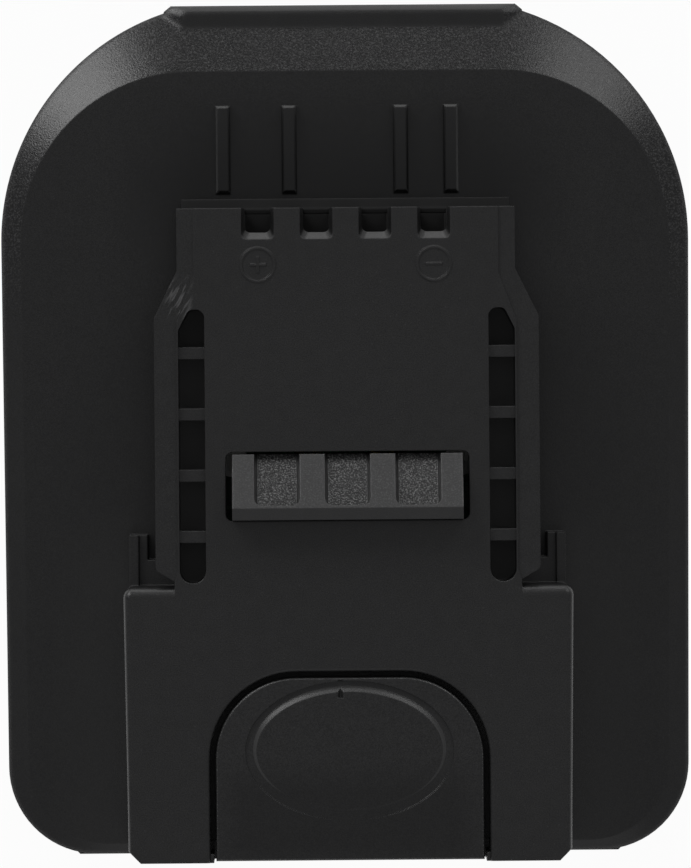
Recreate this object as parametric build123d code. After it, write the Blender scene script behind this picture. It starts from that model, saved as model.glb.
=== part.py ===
from build123d import *
import math
import os

# Tool battery adapter. All sizes are in millimetres.
# The battery side lies on Z = 0 and the tool side faces up. +Y is the head end, where the
# tool's blades enter, and -Y is the heel end, where the release button is.

# Overall body
BODY_W = 80.0
BODY_L = 99.0
SIDE_TAPER = 0.5
CROWN_R = 28.2
CROWN_RISE = 1.5
HEEL_R = 10.2
HEAD_PAD_STEP = 0.8
HEAD_PAD_SIDE_INSET = 19.1
HEEL_PAD_STEP = 0.3
HEEL_PAD_SIDE_INSET = 8.1
PAD_BEVEL = 0.4
WALL = 2.2
OVERRUN = 1.0

# Heights above the rest face
PARTING_Z = 18.0
EDGE_Z = 19.5
PLATE_Z = 24.0
LIP_Z = 36.0
FLANGE_Z = 41.7
FACE_Z = 42.0
HOOK_RISE = 3.5

# Tool side plate: the flat face inside a chamfer of one slope
PLATE_T = 2.2
FACE_SIDE_INSET = 2.3
FACE_CROWN_R = 19.7
FACE_HEEL_R = 9.3
FACE_HEAD_INSET = 7.8
FACE_HEEL_INSET = 1.2
CHAMFER_RUN = 8.6

# Hood: a flat land at the head end, with a bevel on its outer edges
HOOD_L = 2.67
HOOD_BEVEL = 0.7
HOOD_BEVEL_DROP = 0.9
HOOD_FOOT_STEP = 0.4
HOOD_LAND_INSET = 2.15
HOOD_LAND_CORNER = 0.4
HOOD_CORNER_W = 0.8
HOOD_CORNER_L = 0.65

# Coring slots along both rails
SLOT_W = 3.0
SLOT_OFFSET = 17.7
SLOT_EXTRA_L = 2.4
SLOT_END_GAP = 0.4
SLOT_DEPTH = 5.2
SLOT_SLANT = 1.2
SLOT_CORNER_R = 0.8
WEB_T = 1.37
WEB_PITCH_SHARE = 0.2237
WEB_FIRST_SHARE = 0.17
WEB_COUNT = 4
WEB_DROP = 0.7

# Slide rail that enters the tool
RAIL_W = 43.9
RAIL_L_SHARE = 0.291
RAIL_END_R = 0.8
RAIL_END_SLANT = 1.25
RAIL_END_GAP = 1.85
RAIL_SHOULDER_SHARE = 0.0545
RAIL_ROOT_L = 2.2
RAIL_ROOT_STEP = 0.4
NOSE_W = 38.6
NOSE_L_SHARE = 0.0717
LIP_W = 37.6
LIP_H = 2.0
LIP_STEP = 1.15
NECK_WALL = 2.0
MIDDLE_W = 34.8
MIDDLE_RIM = 0.2
MIDDLE_DROP = 0.5
TOP_T = 2.4

# Key ribs on the plate, placed as shares of half the lip's width
KEY_RIB_SHARES = (-0.75, -0.34, 0.349, 0.66)
KEY_RIB_W = 1.7
KEY_RIB_L_SHARE = 0.103
KEY_RIB_H = 2.0
KEY_RIB_GAP = 1.0
KEY_RIB_EDGE = 0.3

# Terminal slots in the nose
TERMINAL_PITCH = 6.7
TERMINAL_COUNT = 4
TERMINAL_W = 3.0
TERMINAL_L = 2.8
TERMINAL_BEVEL = 0.8
TERMINAL_SIDE_BEVEL = 0.38
TERMINAL_R = 0.7
TERMINAL_DEPTH = 17.0

# Polarity marks beside the outer terminal slots
MARK_DROP = 6.5
MARK_R = 2.05
MARK_LINE = 0.3
MARK_H = 0.12
MARK_BAR_L = 1.9

# Release block at the heel end, with a lower collar round the roots of the rail
BLOCK_W = 51.4
BLOCK_TAPER = 0.4
BLOCK_L_SHARE = 0.3182
BLOCK_END_INSET = 0.1
BLOCK_EDGE_R = 0.8
BLOCK_CORNER_CUT = 1.4
SHOULDER_R = 1.2
COLLAR_INSET = 0.5
COLLAR_L = 5.8
COLLAR_WALL = 1.1
COLLAR_WALL_H = 7.0
COLLAR_FLOOR_H = 6.0
COLLAR_POCKET_GAP = 1.15
COLLAR_POCKET_L = 2.85

# Release latch: hook, deck and button in one moulding
LATCH_TRAVEL = 4.0
LATCH_GAP = 0.3
WINDOW_W = 27.8
WINDOW_R = 0.8
WINDOW_L_SHARE = 0.2745
WINDOW_SETBACK_SHARE = 0.533
HOOK_SIDE_GAP = 0.75
HOOK_HEEL_GAP = 0.12
HOOK_CREST_L = 1.36
HOOK_POCKET_W = 4.5
HOOK_POCKET_PITCH = 8.05
HOOK_POCKET_DEPTH = 0.95
HOOK_POCKET_CREST_GAP = 0.7
HOOK_POCKET_R = 0.6
HOOK_POCKET_DRAFT = 20
DECK_T = 2.4
DECK_SIDE_GAP = 0.4
BUTTON_OPENING_W = 31.9
BUTTON_OPENING_R = 9.9
BUTTON_SETBACK_SHARE = 0.311
BUTTON_GAP = 0.65
BUTTON_END_GAP = 0.25
BUTTON_END_LIP = 1.0
BUTTON_DROP = 0.2
BUTTON_EDGE_R = 0.3
BUTTON_OPENING_EDGE_R = 0.5
APRON_T = 1.8
FINGER_PAD_W = 23.8
FINGER_PAD_L_SHARE = 0.506
FINGER_PAD_UP_SHARE = 0.403
FINGER_GROOVE_W = 0.55
FINGER_GROOVE_DEPTH = 0.5
FINGER_RIM_W = 0.7
INDEX_NICK_X = -1.0
INDEX_NICK_W = 0.5
INDEX_NICK_L = 2.0
INDEX_NICK_TURN = 45
STOP_LEG_R = 1.5
STOP_LEG_X = 13.0
STOP_LEG_INSET = 5.0

# Latch springs and the retainer plate that carries them
SPRING_R = 3.0
SPRING_WIRE = 0.6
SPRING_X = 8.0
SPRING_SETBACK = 5.6
SPRING_GAP = 0.1
SPRING_POST_GAP = 0.4
SPRING_POST_L = 3.0
SPRING_CUP_GAP = 0.4
SPRING_CUP_WALL = 1.0
SPRING_CUP_H = 2.5
RETAINER_T = 2.0
RETAINER_RISE = 0.3
RETAINER_SIDE_GAP = 0.5
RETAINER_END_GAP = 0.6
RETAINER_BOSS_R = 3.4
RETAINER_BOSS_INSET = 3.0
RETAINER_BOSS_END_INSET = 4.0

# Carrier for the tool side contacts
CARRIER_L_SHARE = 0.5035
CARRIER_H = 10.8
CARRIER_GAP = 0.3
CARRIER_SIDE_GAP = 0.4
CARRIER_EAR_L = 4.6
CARRIER_EAR_T = 2.5
CARRIER_EAR_DROP = 5.3
CARRIER_BOSS_R = 2.2
CARRIER_BOSS_INSET = 3.0
CONTACT_T = 0.6
CONTACT_MOUTH = 0.9
CONTACT_END_GAP = 2.5
CONTACT_H = 7.5
CONTACT_FLOOR = 2.0
CONTACT_GAP = 0.3
CONTACT_TAIL_L = 3.5
CONTACT_FLARE = 0.35
CONTACT_FLARE_L = 1.5

# Battery bay, open to the rear and at the heel end
BAY_SIDE_WALL = 12.0
BAY_LIP_W = 5.0
BAY_LIP_T = 3.5
BAY_GROOVE_H = 5.0
BAY_DEPTH = 13.0
BAY_L_SHARE = 0.7828
BAY_LEAD_IN = 1.5
CATCH_W = 20.0
CATCH_L_SHARE = 0.129
CATCH_DEPTH = 4.0
CATCH_SETBACK_SHARE = 0.1742
CATCH_WALL = 1.5
FLOOR_T = 2.2
REAR_EDGE_BEVEL = 0.8

# Battery terminal block and its blades
HOLDER_SIDE_INSET = 2.0
HOLDER_L = 10.0
HOLDER_H = 8.2
HOLDER_RISE = 0.7
HOLDER_GAP = 0.2
HOLDER_EAR_W = 4.4
HOLDER_EAR_L = 5.0
HOLDER_EAR_T = 2.2
HOLDER_EAR_RISE = 1.8
HOLDER_BOSS_R = 2.2
BLADE_SIDE_GAP = 6.0
BLADE_INNER_SHARE = 0.3235
BLADE_T = 0.8
BLADE_H = 5.0
BLADE_L = 14.0
BLADE_TIP = 1.2
BLADE_TAIL_L = 3.0
BLADE_TAIL_LEAD = 1.6

# Circuit board
BOARD_W = 32.0
BOARD_L_SHARE = 0.258
BOARD_T = 1.2
BOARD_GAP_SHARE = 0.3742
BOARD_POST_H = 1.3
BOARD_POST_R = 2.2
BOARD_POST_INSET = 2.6
CAPACITOR_R = 3.2
CAPACITOR_H = 9.5
CAPACITOR_X = 9.0
CAPACITOR_INSET_SHARE = 0.35
CHIP_W = 6.0
CHIP_L = 5.0
CHIP_H = 1.6
CHIP_X = -5.0
CHIP_INSET_SHARE = 0.55
RESISTOR_W = 1.6
RESISTOR_L = 3.2
RESISTOR_H = 0.7
RESISTOR_PITCH = 3.2
RESISTOR_COUNT = 3
RESISTOR_INSET_SHARE = 0.825

# Leads
POWER_LEAD_R = 1.1
SIGNAL_LEAD_R = 0.6
POWER_LEAD_RISE = 2.8
POWER_TURN_GAP = 13.0
SIGNAL_LEAD_RISE = 2.6
LINK_LEAD_RISE = 4.2
SIGNAL_PAD_INSET = 2.0
LINK_PAD_INSET = 4.5
BEND_SHARE = 0.45

# Screws
CASE_HEAD_SIDE_INSET = 10.0
CASE_HEAD_INSET = 14.0
CASE_MIDDLE_SHARE = 0.53
CASE_HEEL_UP = 13.5
CASE_BOSS_R = 3.9
CASE_UPPER_BOSS_R = 3.0
CASE_BOSS_SPLIT_Z = 12.0
CASE_SCREW_R = 1.5
CASE_SCREW_L = 13.5
CASE_HEAD_R = 2.9
CASE_HEAD_H = 2.0
CASE_SINK_R = 3.3
CASE_SINK_DEPTH = 5.5
SMALL_SCREW_R = 1.0
SMALL_SCREW_L = 6.0
SMALL_HEAD_R = 1.9
SMALL_HEAD_H = 1.4
BOARD_SCREW_L = 4.4
SCREW_CLEARANCE = 0.2
CROSS_SHARE = 0.62
CROSS_WIDTH_SHARE = 0.2
CROSS_DEPTH_SHARE = 0.5

# Places and sizes that follow from those above
HEAD_Y = BODY_L / 2
HEEL_Y = -BODY_L / 2
SHELL_HEAD_Y = HEAD_Y - HEAD_PAD_STEP
SHELL_HEEL_Y = HEEL_Y + HEEL_PAD_STEP
HEAD_PAD_W = BODY_W - HEAD_PAD_SIDE_INSET * 2
HEEL_PAD_W = BODY_W - HEEL_PAD_SIDE_INSET * 2
FACE_W = BODY_W - FACE_SIDE_INSET * 2
FACE_HEAD_Y = HEAD_Y - FACE_HEAD_INSET
BLOCK_END_Y = HEEL_Y + BLOCK_END_INSET
BLOCK_L = BODY_L * BLOCK_L_SHARE
SHOULDER_Y = BLOCK_END_Y + BLOCK_L
COLLAR_Y = SHOULDER_Y + COLLAR_L
COLLAR_W = BLOCK_W - COLLAR_INSET * 2
COLLAR_POCKET_W = RAIL_W + COLLAR_POCKET_GAP * 2
RAIL_L = BODY_L * RAIL_L_SHARE
SLOT_L = RAIL_L + SLOT_EXTRA_L
SLOT_LOW_Y = SHOULDER_Y + SLOT_END_GAP
SLOT_IN_X = SLOT_OFFSET - SLOT_W / 2
SLOT_OUT_X = SLOT_OFFSET + SLOT_W / 2
SLOT_FLOOR_Z = FACE_Z - SLOT_DEPTH
NECK_W = SLOT_IN_X * 2
MIDDLE_WIDE_W = (SLOT_OUT_X + MIDDLE_RIM) * 2
ROOT_W = MIDDLE_WIDE_W + RAIL_ROOT_STEP * 2
ROOT_Y = SHOULDER_Y - RAIL_ROOT_L
RAIL_END_Y = SHOULDER_Y + RAIL_END_GAP
RAIL_TOP_Y = RAIL_END_Y + RAIL_L
NOSE_ROOT_Y = RAIL_TOP_Y + BODY_L * RAIL_SHOULDER_SHARE
NOSE_Y = NOSE_ROOT_Y + BODY_L * NOSE_L_SHARE
LIP_Y = NOSE_Y + LIP_STEP
CEILING_Z = FACE_Z - TOP_T
TERMINAL_END_Y = NOSE_Y - TERMINAL_L
TERMINAL_X = [(index - (TERMINAL_COUNT - 1) / 2) * TERMINAL_PITCH for index in range(TERMINAL_COUNT)]
HOLLOW_NECK_W = NECK_W - NECK_WALL * 2
HOLLOW_BLOCK_W = BLOCK_W - WALL * 2
HOLLOW_HEEL_Y = BLOCK_END_Y + WALL
HOLLOW_SHOULDER_Y = SHOULDER_Y - WALL
WINDOW_HEAD_Y = SHOULDER_Y + RAIL_L * WINDOW_SETBACK_SHARE
WINDOW_HEEL_Y = WINDOW_HEAD_Y - RAIL_L * WINDOW_L_SHARE
BUTTON_OPENING_Y = SHOULDER_Y - BLOCK_L * BUTTON_SETBACK_SHARE
BUTTON_Z = FACE_Z - BUTTON_DROP
DECK_TOP_Z = CEILING_Z - LATCH_GAP
DECK_LOW_Z = DECK_TOP_Z - DECK_T
SILL_Z = DECK_LOW_Z - LATCH_TRAVEL - LATCH_GAP
RETAINER_Z = PLATE_Z + RETAINER_RISE
RETAINER_TOP_Z = RETAINER_Z + RETAINER_T
RETAINER_W = HOLLOW_BLOCK_W - RETAINER_SIDE_GAP * 2
RETAINER_BOSS_X = HOLLOW_BLOCK_W / 2 - RETAINER_BOSS_INSET
STOP_Z = RETAINER_TOP_Z + LATCH_TRAVEL + LATCH_GAP
DECK_W = (RETAINER_BOSS_X - RETAINER_BOSS_R - DECK_SIDE_GAP) * 2
HOOK_W = WINDOW_W - HOOK_SIDE_GAP * 2
BUTTON_W = BUTTON_OPENING_W - BUTTON_GAP * 2
CARRIER_W = HOLLOW_NECK_W - CARRIER_SIDE_GAP * 2
CARRIER_Y = TERMINAL_END_Y - CARRIER_GAP
CARRIER_TOP_Z = CEILING_Z - CARRIER_GAP
CARRIER_Z = CARRIER_TOP_Z - CARRIER_H
CARRIER_L = RAIL_L * CARRIER_L_SHARE
CARRIER_BACK_Y = CARRIER_Y - CARRIER_L
CARRIER_EAR_TOP_Z = CARRIER_TOP_Z - CARRIER_EAR_DROP
CARRIER_EAR_Z = CARRIER_EAR_TOP_Z - CARRIER_EAR_T
CARRIER_BOSS_X = HOLLOW_NECK_W / 2 - CARRIER_BOSS_INSET
CONTACT_Z = CARRIER_Z + CONTACT_FLOOR
CONTACT_TOP_Z = CONTACT_Z + CONTACT_H
CONTACT_Y = CARRIER_Y - CONTACT_GAP
CONTACT_BACK_Y = CONTACT_Y + CONTACT_END_GAP - CARRIER_L
CONTACT_OUT = CONTACT_MOUTH / 2 + CONTACT_T
TAIL_END_Z = CARRIER_Z - CONTACT_TAIL_L
BAY_L = BODY_L * BAY_L_SHARE
BAY_END_Y = HEEL_Y + BAY_L
BAY_GROOVE_W = BODY_W - BAY_SIDE_WALL * 2
BAY_THROAT_W = BAY_GROOVE_W - BAY_LIP_W * 2
BAY_GROOVE_Z = BAY_LIP_T + BAY_GROOVE_H
BAY_ROOF_Z = BAY_DEPTH + WALL
CATCH_Y = HEEL_Y + BAY_L * CATCH_SETBACK_SHARE
CATCH_L = BAY_L * CATCH_L_SHARE
CATCH_Z = BAY_DEPTH + CATCH_DEPTH
HOLDER_W = BAY_THROAT_W - HOLDER_SIDE_INSET * 2
HOLDER_Z = BAY_LIP_T + HOLDER_RISE
HOLDER_TOP_Z = HOLDER_Z + HOLDER_H
HOLDER_BACK_Y = BAY_END_Y + HOLDER_L
HOLDER_EAR_Z = HOLDER_Z + HOLDER_EAR_RISE
HOLDER_EAR_TOP_Z = HOLDER_EAR_Z + HOLDER_EAR_T
BLADE_OUTER_X = BAY_THROAT_W / 2 - BLADE_SIDE_GAP
BLADE_INNER_X = BLADE_OUTER_X * BLADE_INNER_SHARE
BLADE_X = (-BLADE_OUTER_X, -BLADE_INNER_X, BLADE_INNER_X, BLADE_OUTER_X)
BLADE_Z = HOLDER_Z + (HOLDER_H - BLADE_H) / 2
BLADE_TOP_Z = BLADE_Z + BLADE_H
TAIL_LEAD_Y = HOLDER_BACK_Y + BLADE_TAIL_LEAD
BOARD_HEAD_Y = BAY_END_Y - BAY_L * BOARD_GAP_SHARE
BOARD_L = BAY_L * BOARD_L_SHARE
BOARD_Z = BAY_ROOF_Z + BOARD_POST_H
BOARD_TOP_Z = BOARD_Z + BOARD_T
POWER_LEAD_Z = BAY_ROOF_Z + POWER_LEAD_RISE
SIGNAL_LEAD_Z = BOARD_TOP_Z + SIGNAL_LEAD_RISE
LINK_LEAD_Z = BOARD_TOP_Z + LINK_LEAD_RISE
RISER_Y = CONTACT_BACK_Y + CONTACT_T / 2
CASE_SIDE_X = (BAY_GROOVE_W + BODY_W) / 4
CASE_TIP_Z = CASE_SINK_DEPTH + CASE_SCREW_L
SIDES = (-1, 1)
POLES = ("positive", "data", "sense", "negative")


def span(x_low, x_high, y_low, y_high, z_low, z_high):
    """A box between two corners."""
    box = Box(x_high - x_low, y_high - y_low, z_high - z_low)
    return Pos((x_low + x_high) / 2, (y_low + y_high) / 2, (z_low + z_high) / 2) * box


def centred(width, y_low, y_high, z_low, z_high):
    """A box that is centred across X."""
    return span(-width / 2, width / 2, y_low, y_high, z_low, z_high)


def beside(side, x_in, x_out, y_low, y_high, z_low, z_high):
    """A box on one side of the middle, between two distances from it."""
    edges = sorted((side * x_in, side * x_out))
    return span(*edges, y_low, y_high, z_low, z_high)


def rod(x, y, z_low, z_high, radius):
    """An upright cylinder."""
    return Pos(x, y, (z_low + z_high) / 2) * Cylinder(radius, z_high - z_low)


def prism(face, z_low, z_high):
    """A flat face drawn on XY, raised between two heights."""
    return extrude(Pos(0, 0, z_low) * face, amount=z_high - z_low, dir=(0, 0, 1))


def outline(points):
    """A closed face through straight lines."""
    return make_face(Polyline(*points, close=True))


def side_prism(points, x_low, x_high):
    """An outline of (Y, Z) points, carried across X."""
    return extrude(Plane.YZ.offset(x_low) * outline(points), amount=x_high - x_low)


def mirrored(points):
    """Right-hand outline points from heel to head, closed by their mirror image."""
    return list(points) + [(-x, y) for x, y in reversed(points)]


def open_arch(half_width, heel_y, head_y, radius, x=0):
    """A face with two round corners at one end and square ones at the other."""
    corners = [
        (x + half_width, heel_y),
        (x + half_width, head_y),
        (x - half_width, head_y),
        (x - half_width, heel_y),
    ]
    arch = FilletPolyline(*corners, radius=[radius, radius])
    return make_face(arch + Line(corners[-1], corners[0]))


def rounded_body(half_width, head_y, heel_y, crown_r, heel_r):
    """Body outline with two large corners at the head and two small ones at the heel."""
    heel_half = half_width - SIDE_TAPER
    slope = SIDE_TAPER / (head_y - crown_r - heel_y)
    head_half = half_width + slope * crown_r
    corners = [(-heel_half, heel_y), (heel_half, heel_y), (head_half, head_y), (-head_half, head_y)]
    return make_face(FilletPolyline(*corners, radius=[heel_r, heel_r, crown_r, crown_r], close=True))


def edge_outline(inset):
    """The outline at the shell's edge, before its head end is cut flat."""
    crown_y = SHELL_HEAD_Y + CROWN_RISE - inset
    half_width = BODY_W / 2 - inset
    return rounded_body(half_width, crown_y, SHELL_HEEL_Y + inset, CROWN_R - inset, HEEL_R - inset)


def face_outline(inset):
    """The outline of the plate's flat face, inside the chamfer."""
    head_y = FACE_HEAD_Y - inset
    heel_y = SHELL_HEEL_Y + FACE_HEEL_INSET + inset
    return rounded_body(FACE_W / 2 - inset, head_y, heel_y, FACE_CROWN_R - inset, FACE_HEEL_R - inset)


def domed_form(inset, drop):
    """Upright walls under a chamfer of one slope, whose lower edge is low at the head, high at the sides."""
    edge_z = EDGE_Z - drop
    top_z = PLATE_Z - drop
    wide_outline = face_outline(inset - CHAMFER_RUN)
    slope = loft([Pos(0, 0, edge_z) * wide_outline, Pos(0, 0, top_z) * face_outline(inset)], ruled=True)
    blank = prism(wide_outline, PARTING_Z - drop, edge_z) + slope
    return blank & prism(edge_outline(inset), PARTING_Z - drop, top_z)


def head_cut():
    """What lies past the flat head end of the shells."""
    return centred(BODY_W, SHELL_HEAD_Y, HEAD_Y + CROWN_RISE, -OVERRUN, PLATE_Z + OVERRUN)


def hood():
    """A flat land on the chamfer at the head end, with a bevel and cut corners outside it."""
    in_y = HEAD_Y - HOOD_L
    out_y = HEAD_Y - HOOD_BEVEL
    land_z = PLATE_Z - (PLATE_Z - EDGE_Z) * (in_y - FACE_HEAD_Y) / CHAMFER_RUN
    foot_z = land_z - HOOD_BEVEL_DROP
    half = HEAD_PAD_W / 2
    land_half = half - HOOD_LAND_INSET
    foot_points = [
        (half + HOOD_FOOT_STEP, in_y),
        (half, HEAD_Y - HOOD_CORNER_L),
        (half - HOOD_CORNER_W, HEAD_Y),
    ]
    land_points = [
        (land_half, in_y),
        (land_half, out_y - HOOD_LAND_CORNER),
        (land_half - HOOD_LAND_CORNER, out_y),
    ]
    foot = outline(mirrored(foot_points))
    bevel = loft([Pos(0, 0, foot_z) * foot, Pos(0, 0, land_z) * outline(mirrored(land_points))], ruled=True)
    return prism(foot, PARTING_Z, foot_z) + bevel


def key_ribs():
    """Four upright ribs between the head chamfer and the rail's nose."""
    length = BODY_L * KEY_RIB_L_SHARE
    y = LIP_Y + KEY_RIB_GAP + length / 2
    ribs = []
    for share in KEY_RIB_SHARES:
        rib = Pos(share * LIP_W / 2, y, PLATE_Z) * Box(KEY_RIB_W, length, KEY_RIB_H * 2)
        ribs.append(chamfer(rib.faces().sort_by(Axis.Z)[-1].edges(), KEY_RIB_EDGE))
    return ribs


def rail_outline():
    """The rail seen from above: wide rails, sloping shoulders and a narrower nose."""
    points = [
        (ROOT_W / 2, ROOT_Y),
        (ROOT_W / 2, RAIL_END_Y - RAIL_END_SLANT),
        (RAIL_W / 2, RAIL_END_Y),
        (RAIL_W / 2, RAIL_TOP_Y),
        (NOSE_W / 2, NOSE_ROOT_Y),
        (NOSE_W / 2, NOSE_Y),
    ]
    radii = [0, 0, RAIL_END_R, 0, 0, 0]
    return make_face(FilletPolyline(*mirrored(points), radius=radii + radii[::-1], close=True))


def middle_outline():
    """The slightly higher middle of the rail, which runs level into the block."""
    points = [
        (ROOT_W / 2, ROOT_Y),
        (ROOT_W / 2, RAIL_END_Y - RAIL_END_SLANT),
        (MIDDLE_WIDE_W / 2, RAIL_END_Y),
        (MIDDLE_WIDE_W / 2, RAIL_TOP_Y - MIDDLE_DROP),
        (MIDDLE_W / 2, NOSE_ROOT_Y - MIDDLE_DROP),
        (MIDDLE_W / 2, NOSE_Y),
    ]
    return outline(mirrored(points))


def rail():
    """Neck, flange and raised middle of the slide rail."""
    neck = centred(NECK_W, ROOT_Y, NOSE_Y, PLATE_Z - PLATE_T, LIP_Z)
    flange = prism(rail_outline(), LIP_Z, FLANGE_Z)
    middle = prism(middle_outline(), FLANGE_Z, FACE_Z)
    return neck + flange + middle


def nose_lip():
    """A low ledge before the nose, which bridges the terminal slots."""
    return centred(LIP_W, NOSE_Y - LIP_STEP / 2, LIP_Y, LIP_Z, LIP_Z + LIP_H)


def coring_slot(side):
    """A blind slot with a round heel end and a slanted corner at its head end."""
    head_y = SLOT_LOW_Y + SLOT_L
    round_y = SLOT_LOW_Y + SLOT_W / 2
    points = [
        (side * SLOT_OUT_X, round_y),
        (side * SLOT_OUT_X, head_y - SLOT_SLANT * 2),
        (side * (SLOT_OUT_X - SLOT_SLANT), head_y),
        (side * (SLOT_IN_X + SLOT_SLANT / 2), head_y),
        (side * SLOT_IN_X, head_y - SLOT_SLANT / 2),
        (side * SLOT_IN_X, round_y),
    ]
    walls = FilletPolyline(*points, radius=[SLOT_CORNER_R] * (len(points) - 2))
    face = make_face(walls + Line(points[-1], points[0]))
    top_z = FACE_Z + OVERRUN
    end = rod(side * SLOT_OFFSET, round_y, SLOT_FLOOR_Z, top_z, SLOT_W / 2)
    return prism(face, SLOT_FLOOR_Z, top_z) + end


def slot_webs(side):
    """Thin bridges across a coring slot, a little below the face."""
    webs = []
    for index in range(WEB_COUNT):
        y = SLOT_LOW_Y + SLOT_L * (WEB_FIRST_SHARE + index * WEB_PITCH_SHARE)
        low_y = y - WEB_T / 2
        high_y = low_y + WEB_T
        webs.append(beside(side, SLOT_IN_X, SLOT_OUT_X, low_y, high_y, SLOT_FLOOR_Z, FACE_Z - WEB_DROP))
    return webs


def terminal_slot(x):
    """An open slot in the nose, with two round corners and bevelled edges at its inner end."""
    half = TERMINAL_W / 2
    far_y = LIP_Y + OVERRUN
    end_y = TERMINAL_END_Y
    low_face = open_arch(half, far_y, end_y, TERMINAL_R, x)
    high_face = open_arch(half + TERMINAL_SIDE_BEVEL, far_y, end_y - TERMINAL_BEVEL, TERMINAL_R, x)
    body = prism(low_face, FACE_Z - TERMINAL_DEPTH, FACE_Z + OVERRUN)
    bevel = loft([Pos(0, 0, FACE_Z - TERMINAL_BEVEL) * low_face, Pos(0, 0, FACE_Z) * high_face], ruled=True)
    return body + bevel


def polarity_mark(x, upright):
    """A thin raised ring round a plus or a minus."""
    y = NOSE_Y - MARK_DROP
    low_z = FACE_Z - MARK_H
    high_z = FACE_Z + MARK_H
    half_bar = MARK_BAR_L / 2
    half_line = MARK_LINE / 2
    ring = rod(x, y, low_z, high_z, MARK_R) - rod(x, y, low_z, high_z, MARK_R - MARK_LINE)
    bars = [span(x - half_bar, x + half_bar, y - half_line, y + half_line, low_z, high_z)]
    if upright:
        bars.append(span(x - half_line, x + half_line, y - half_bar, y + half_bar, low_z, high_z))
    return [ring] + bars


def button_opening():
    """The D form that the button's opening cuts out of the block's top."""
    face = open_arch(BUTTON_OPENING_W / 2, BLOCK_END_Y - OVERRUN, BUTTON_OPENING_Y, BUTTON_OPENING_R)
    return prism(face, CEILING_Z - OVERRUN, FACE_Z + OVERRUN)


def is_on_opening(edge):
    """True for the edges of the block's top that run round the button's opening."""
    place = edge.center()
    is_inside = abs(place.X) < BLOCK_W / 2 - BUTTON_OPENING_R / 2
    return is_inside and BLOCK_END_Y < place.Y < SHOULDER_Y - SHOULDER_R * 2


def release_block():
    """The block round the button, with a rounded shoulder towards the rail and a rounded opening."""
    half = BLOCK_W / 2
    heel_half = half - BLOCK_TAPER
    points = [
        (heel_half - BLOCK_CORNER_CUT, BLOCK_END_Y),
        (heel_half, BLOCK_END_Y + BLOCK_CORNER_CUT),
        (half, SHOULDER_Y),
    ]
    block = prism(outline(mirrored(points)), PLATE_Z - PLATE_T, FACE_Z)
    shoulder = block.faces().sort_by(Axis.Z)[-1].edges().sort_by(Axis.Y)[-1]
    corners = block.edges().filter_by(Axis.Z).sort_by(Axis.Y)[-2:]
    block = fillet([shoulder] + list(corners), SHOULDER_R)
    top_edges = block.faces().sort_by(Axis.Z)[-1].edges()
    sides = top_edges.filter_by(lambda edge: edge.length > BLOCK_L / 2 and abs(edge.center().X) > half / 2)
    block = fillet(sides, BLOCK_EDGE_R) - button_opening()
    opening_edges = block.faces().sort_by(Axis.Z)[-1].edges().filter_by(is_on_opening)
    return fillet(opening_edges, BUTTON_OPENING_EDGE_R)


def collar():
    """The lower step round the rail's roots, with pockets for the ends of the tool's rails."""
    low_z = PLATE_Z - PLATE_T
    floor_z = PLATE_Z + COLLAR_FLOOR_H
    form = centred(COLLAR_W, HOLLOW_SHOULDER_Y, COLLAR_Y, low_z, floor_z)
    wall_in_x = COLLAR_W / 2 - COLLAR_WALL
    pocket_y = COLLAR_Y - COLLAR_POCKET_L
    for side in SIDES:
        top_z = PLATE_Z + COLLAR_WALL_H
        form += beside(side, wall_in_x, COLLAR_W / 2, HOLLOW_SHOULDER_Y, COLLAR_Y, low_z, top_z)
        far_y = COLLAR_Y + OVERRUN
        form -= beside(side, NECK_W / 2, COLLAR_POCKET_W / 2, pocket_y, far_y, PLATE_Z, floor_z + OVERRUN)
    return form


def inner_hollow():
    """The hollow inside rail and block, open towards the battery side."""
    low_z = PARTING_Z - OVERRUN
    neck = centred(HOLLOW_NECK_W, HOLLOW_SHOULDER_Y - WALL, TERMINAL_END_Y, low_z, CEILING_Z)
    block = centred(HOLLOW_BLOCK_W, HOLLOW_HEEL_Y, HOLLOW_SHOULDER_Y, low_z, CEILING_Z)
    return neck + block


def latch_openings():
    """The hook's window and the button's opening, which runs out through the heel end."""
    window_l = WINDOW_HEAD_Y - WINDOW_HEEL_Y
    window_face = Pos(0, WINDOW_HEEL_Y + window_l / 2, 0) * RectangleRounded(WINDOW_W, window_l, WINDOW_R)
    window = prism(window_face, CEILING_Z - OVERRUN, FACE_Z + OVERRUN)
    end = centred(BUTTON_OPENING_W, BLOCK_END_Y - OVERRUN, HOLLOW_HEEL_Y + OVERRUN, SILL_Z, FACE_Z)
    return [window, button_opening(), end]


def opening_lips():
    """Narrow lips that nearly close the gap beside the button at the block's end."""
    in_x = BUTTON_W / 2 + BUTTON_END_GAP
    out_x = BUTTON_OPENING_W / 2 + OVERRUN
    high_y = BLOCK_END_Y + BUTTON_END_LIP
    low_z = SILL_Z - OVERRUN
    top_z = FACE_Z - BUTTON_OPENING_EDGE_R
    return [beside(side, in_x, out_x, BLOCK_END_Y, high_y, low_z, top_z) for side in SIDES]


def retainer_places():
    """Where the four retainer screws stand."""
    head_y = HOLLOW_SHOULDER_Y - RETAINER_BOSS_END_INSET
    heel_y = HOLLOW_HEEL_Y + RETAINER_BOSS_END_INSET
    return [(side * RETAINER_BOSS_X, y) for y in (head_y, heel_y) for side in SIDES]


def carrier_places():
    """Where the two carrier screws stand."""
    return [(side * CARRIER_BOSS_X, CARRIER_BACK_Y - CARRIER_EAR_L / 2) for side in SIDES]


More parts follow.
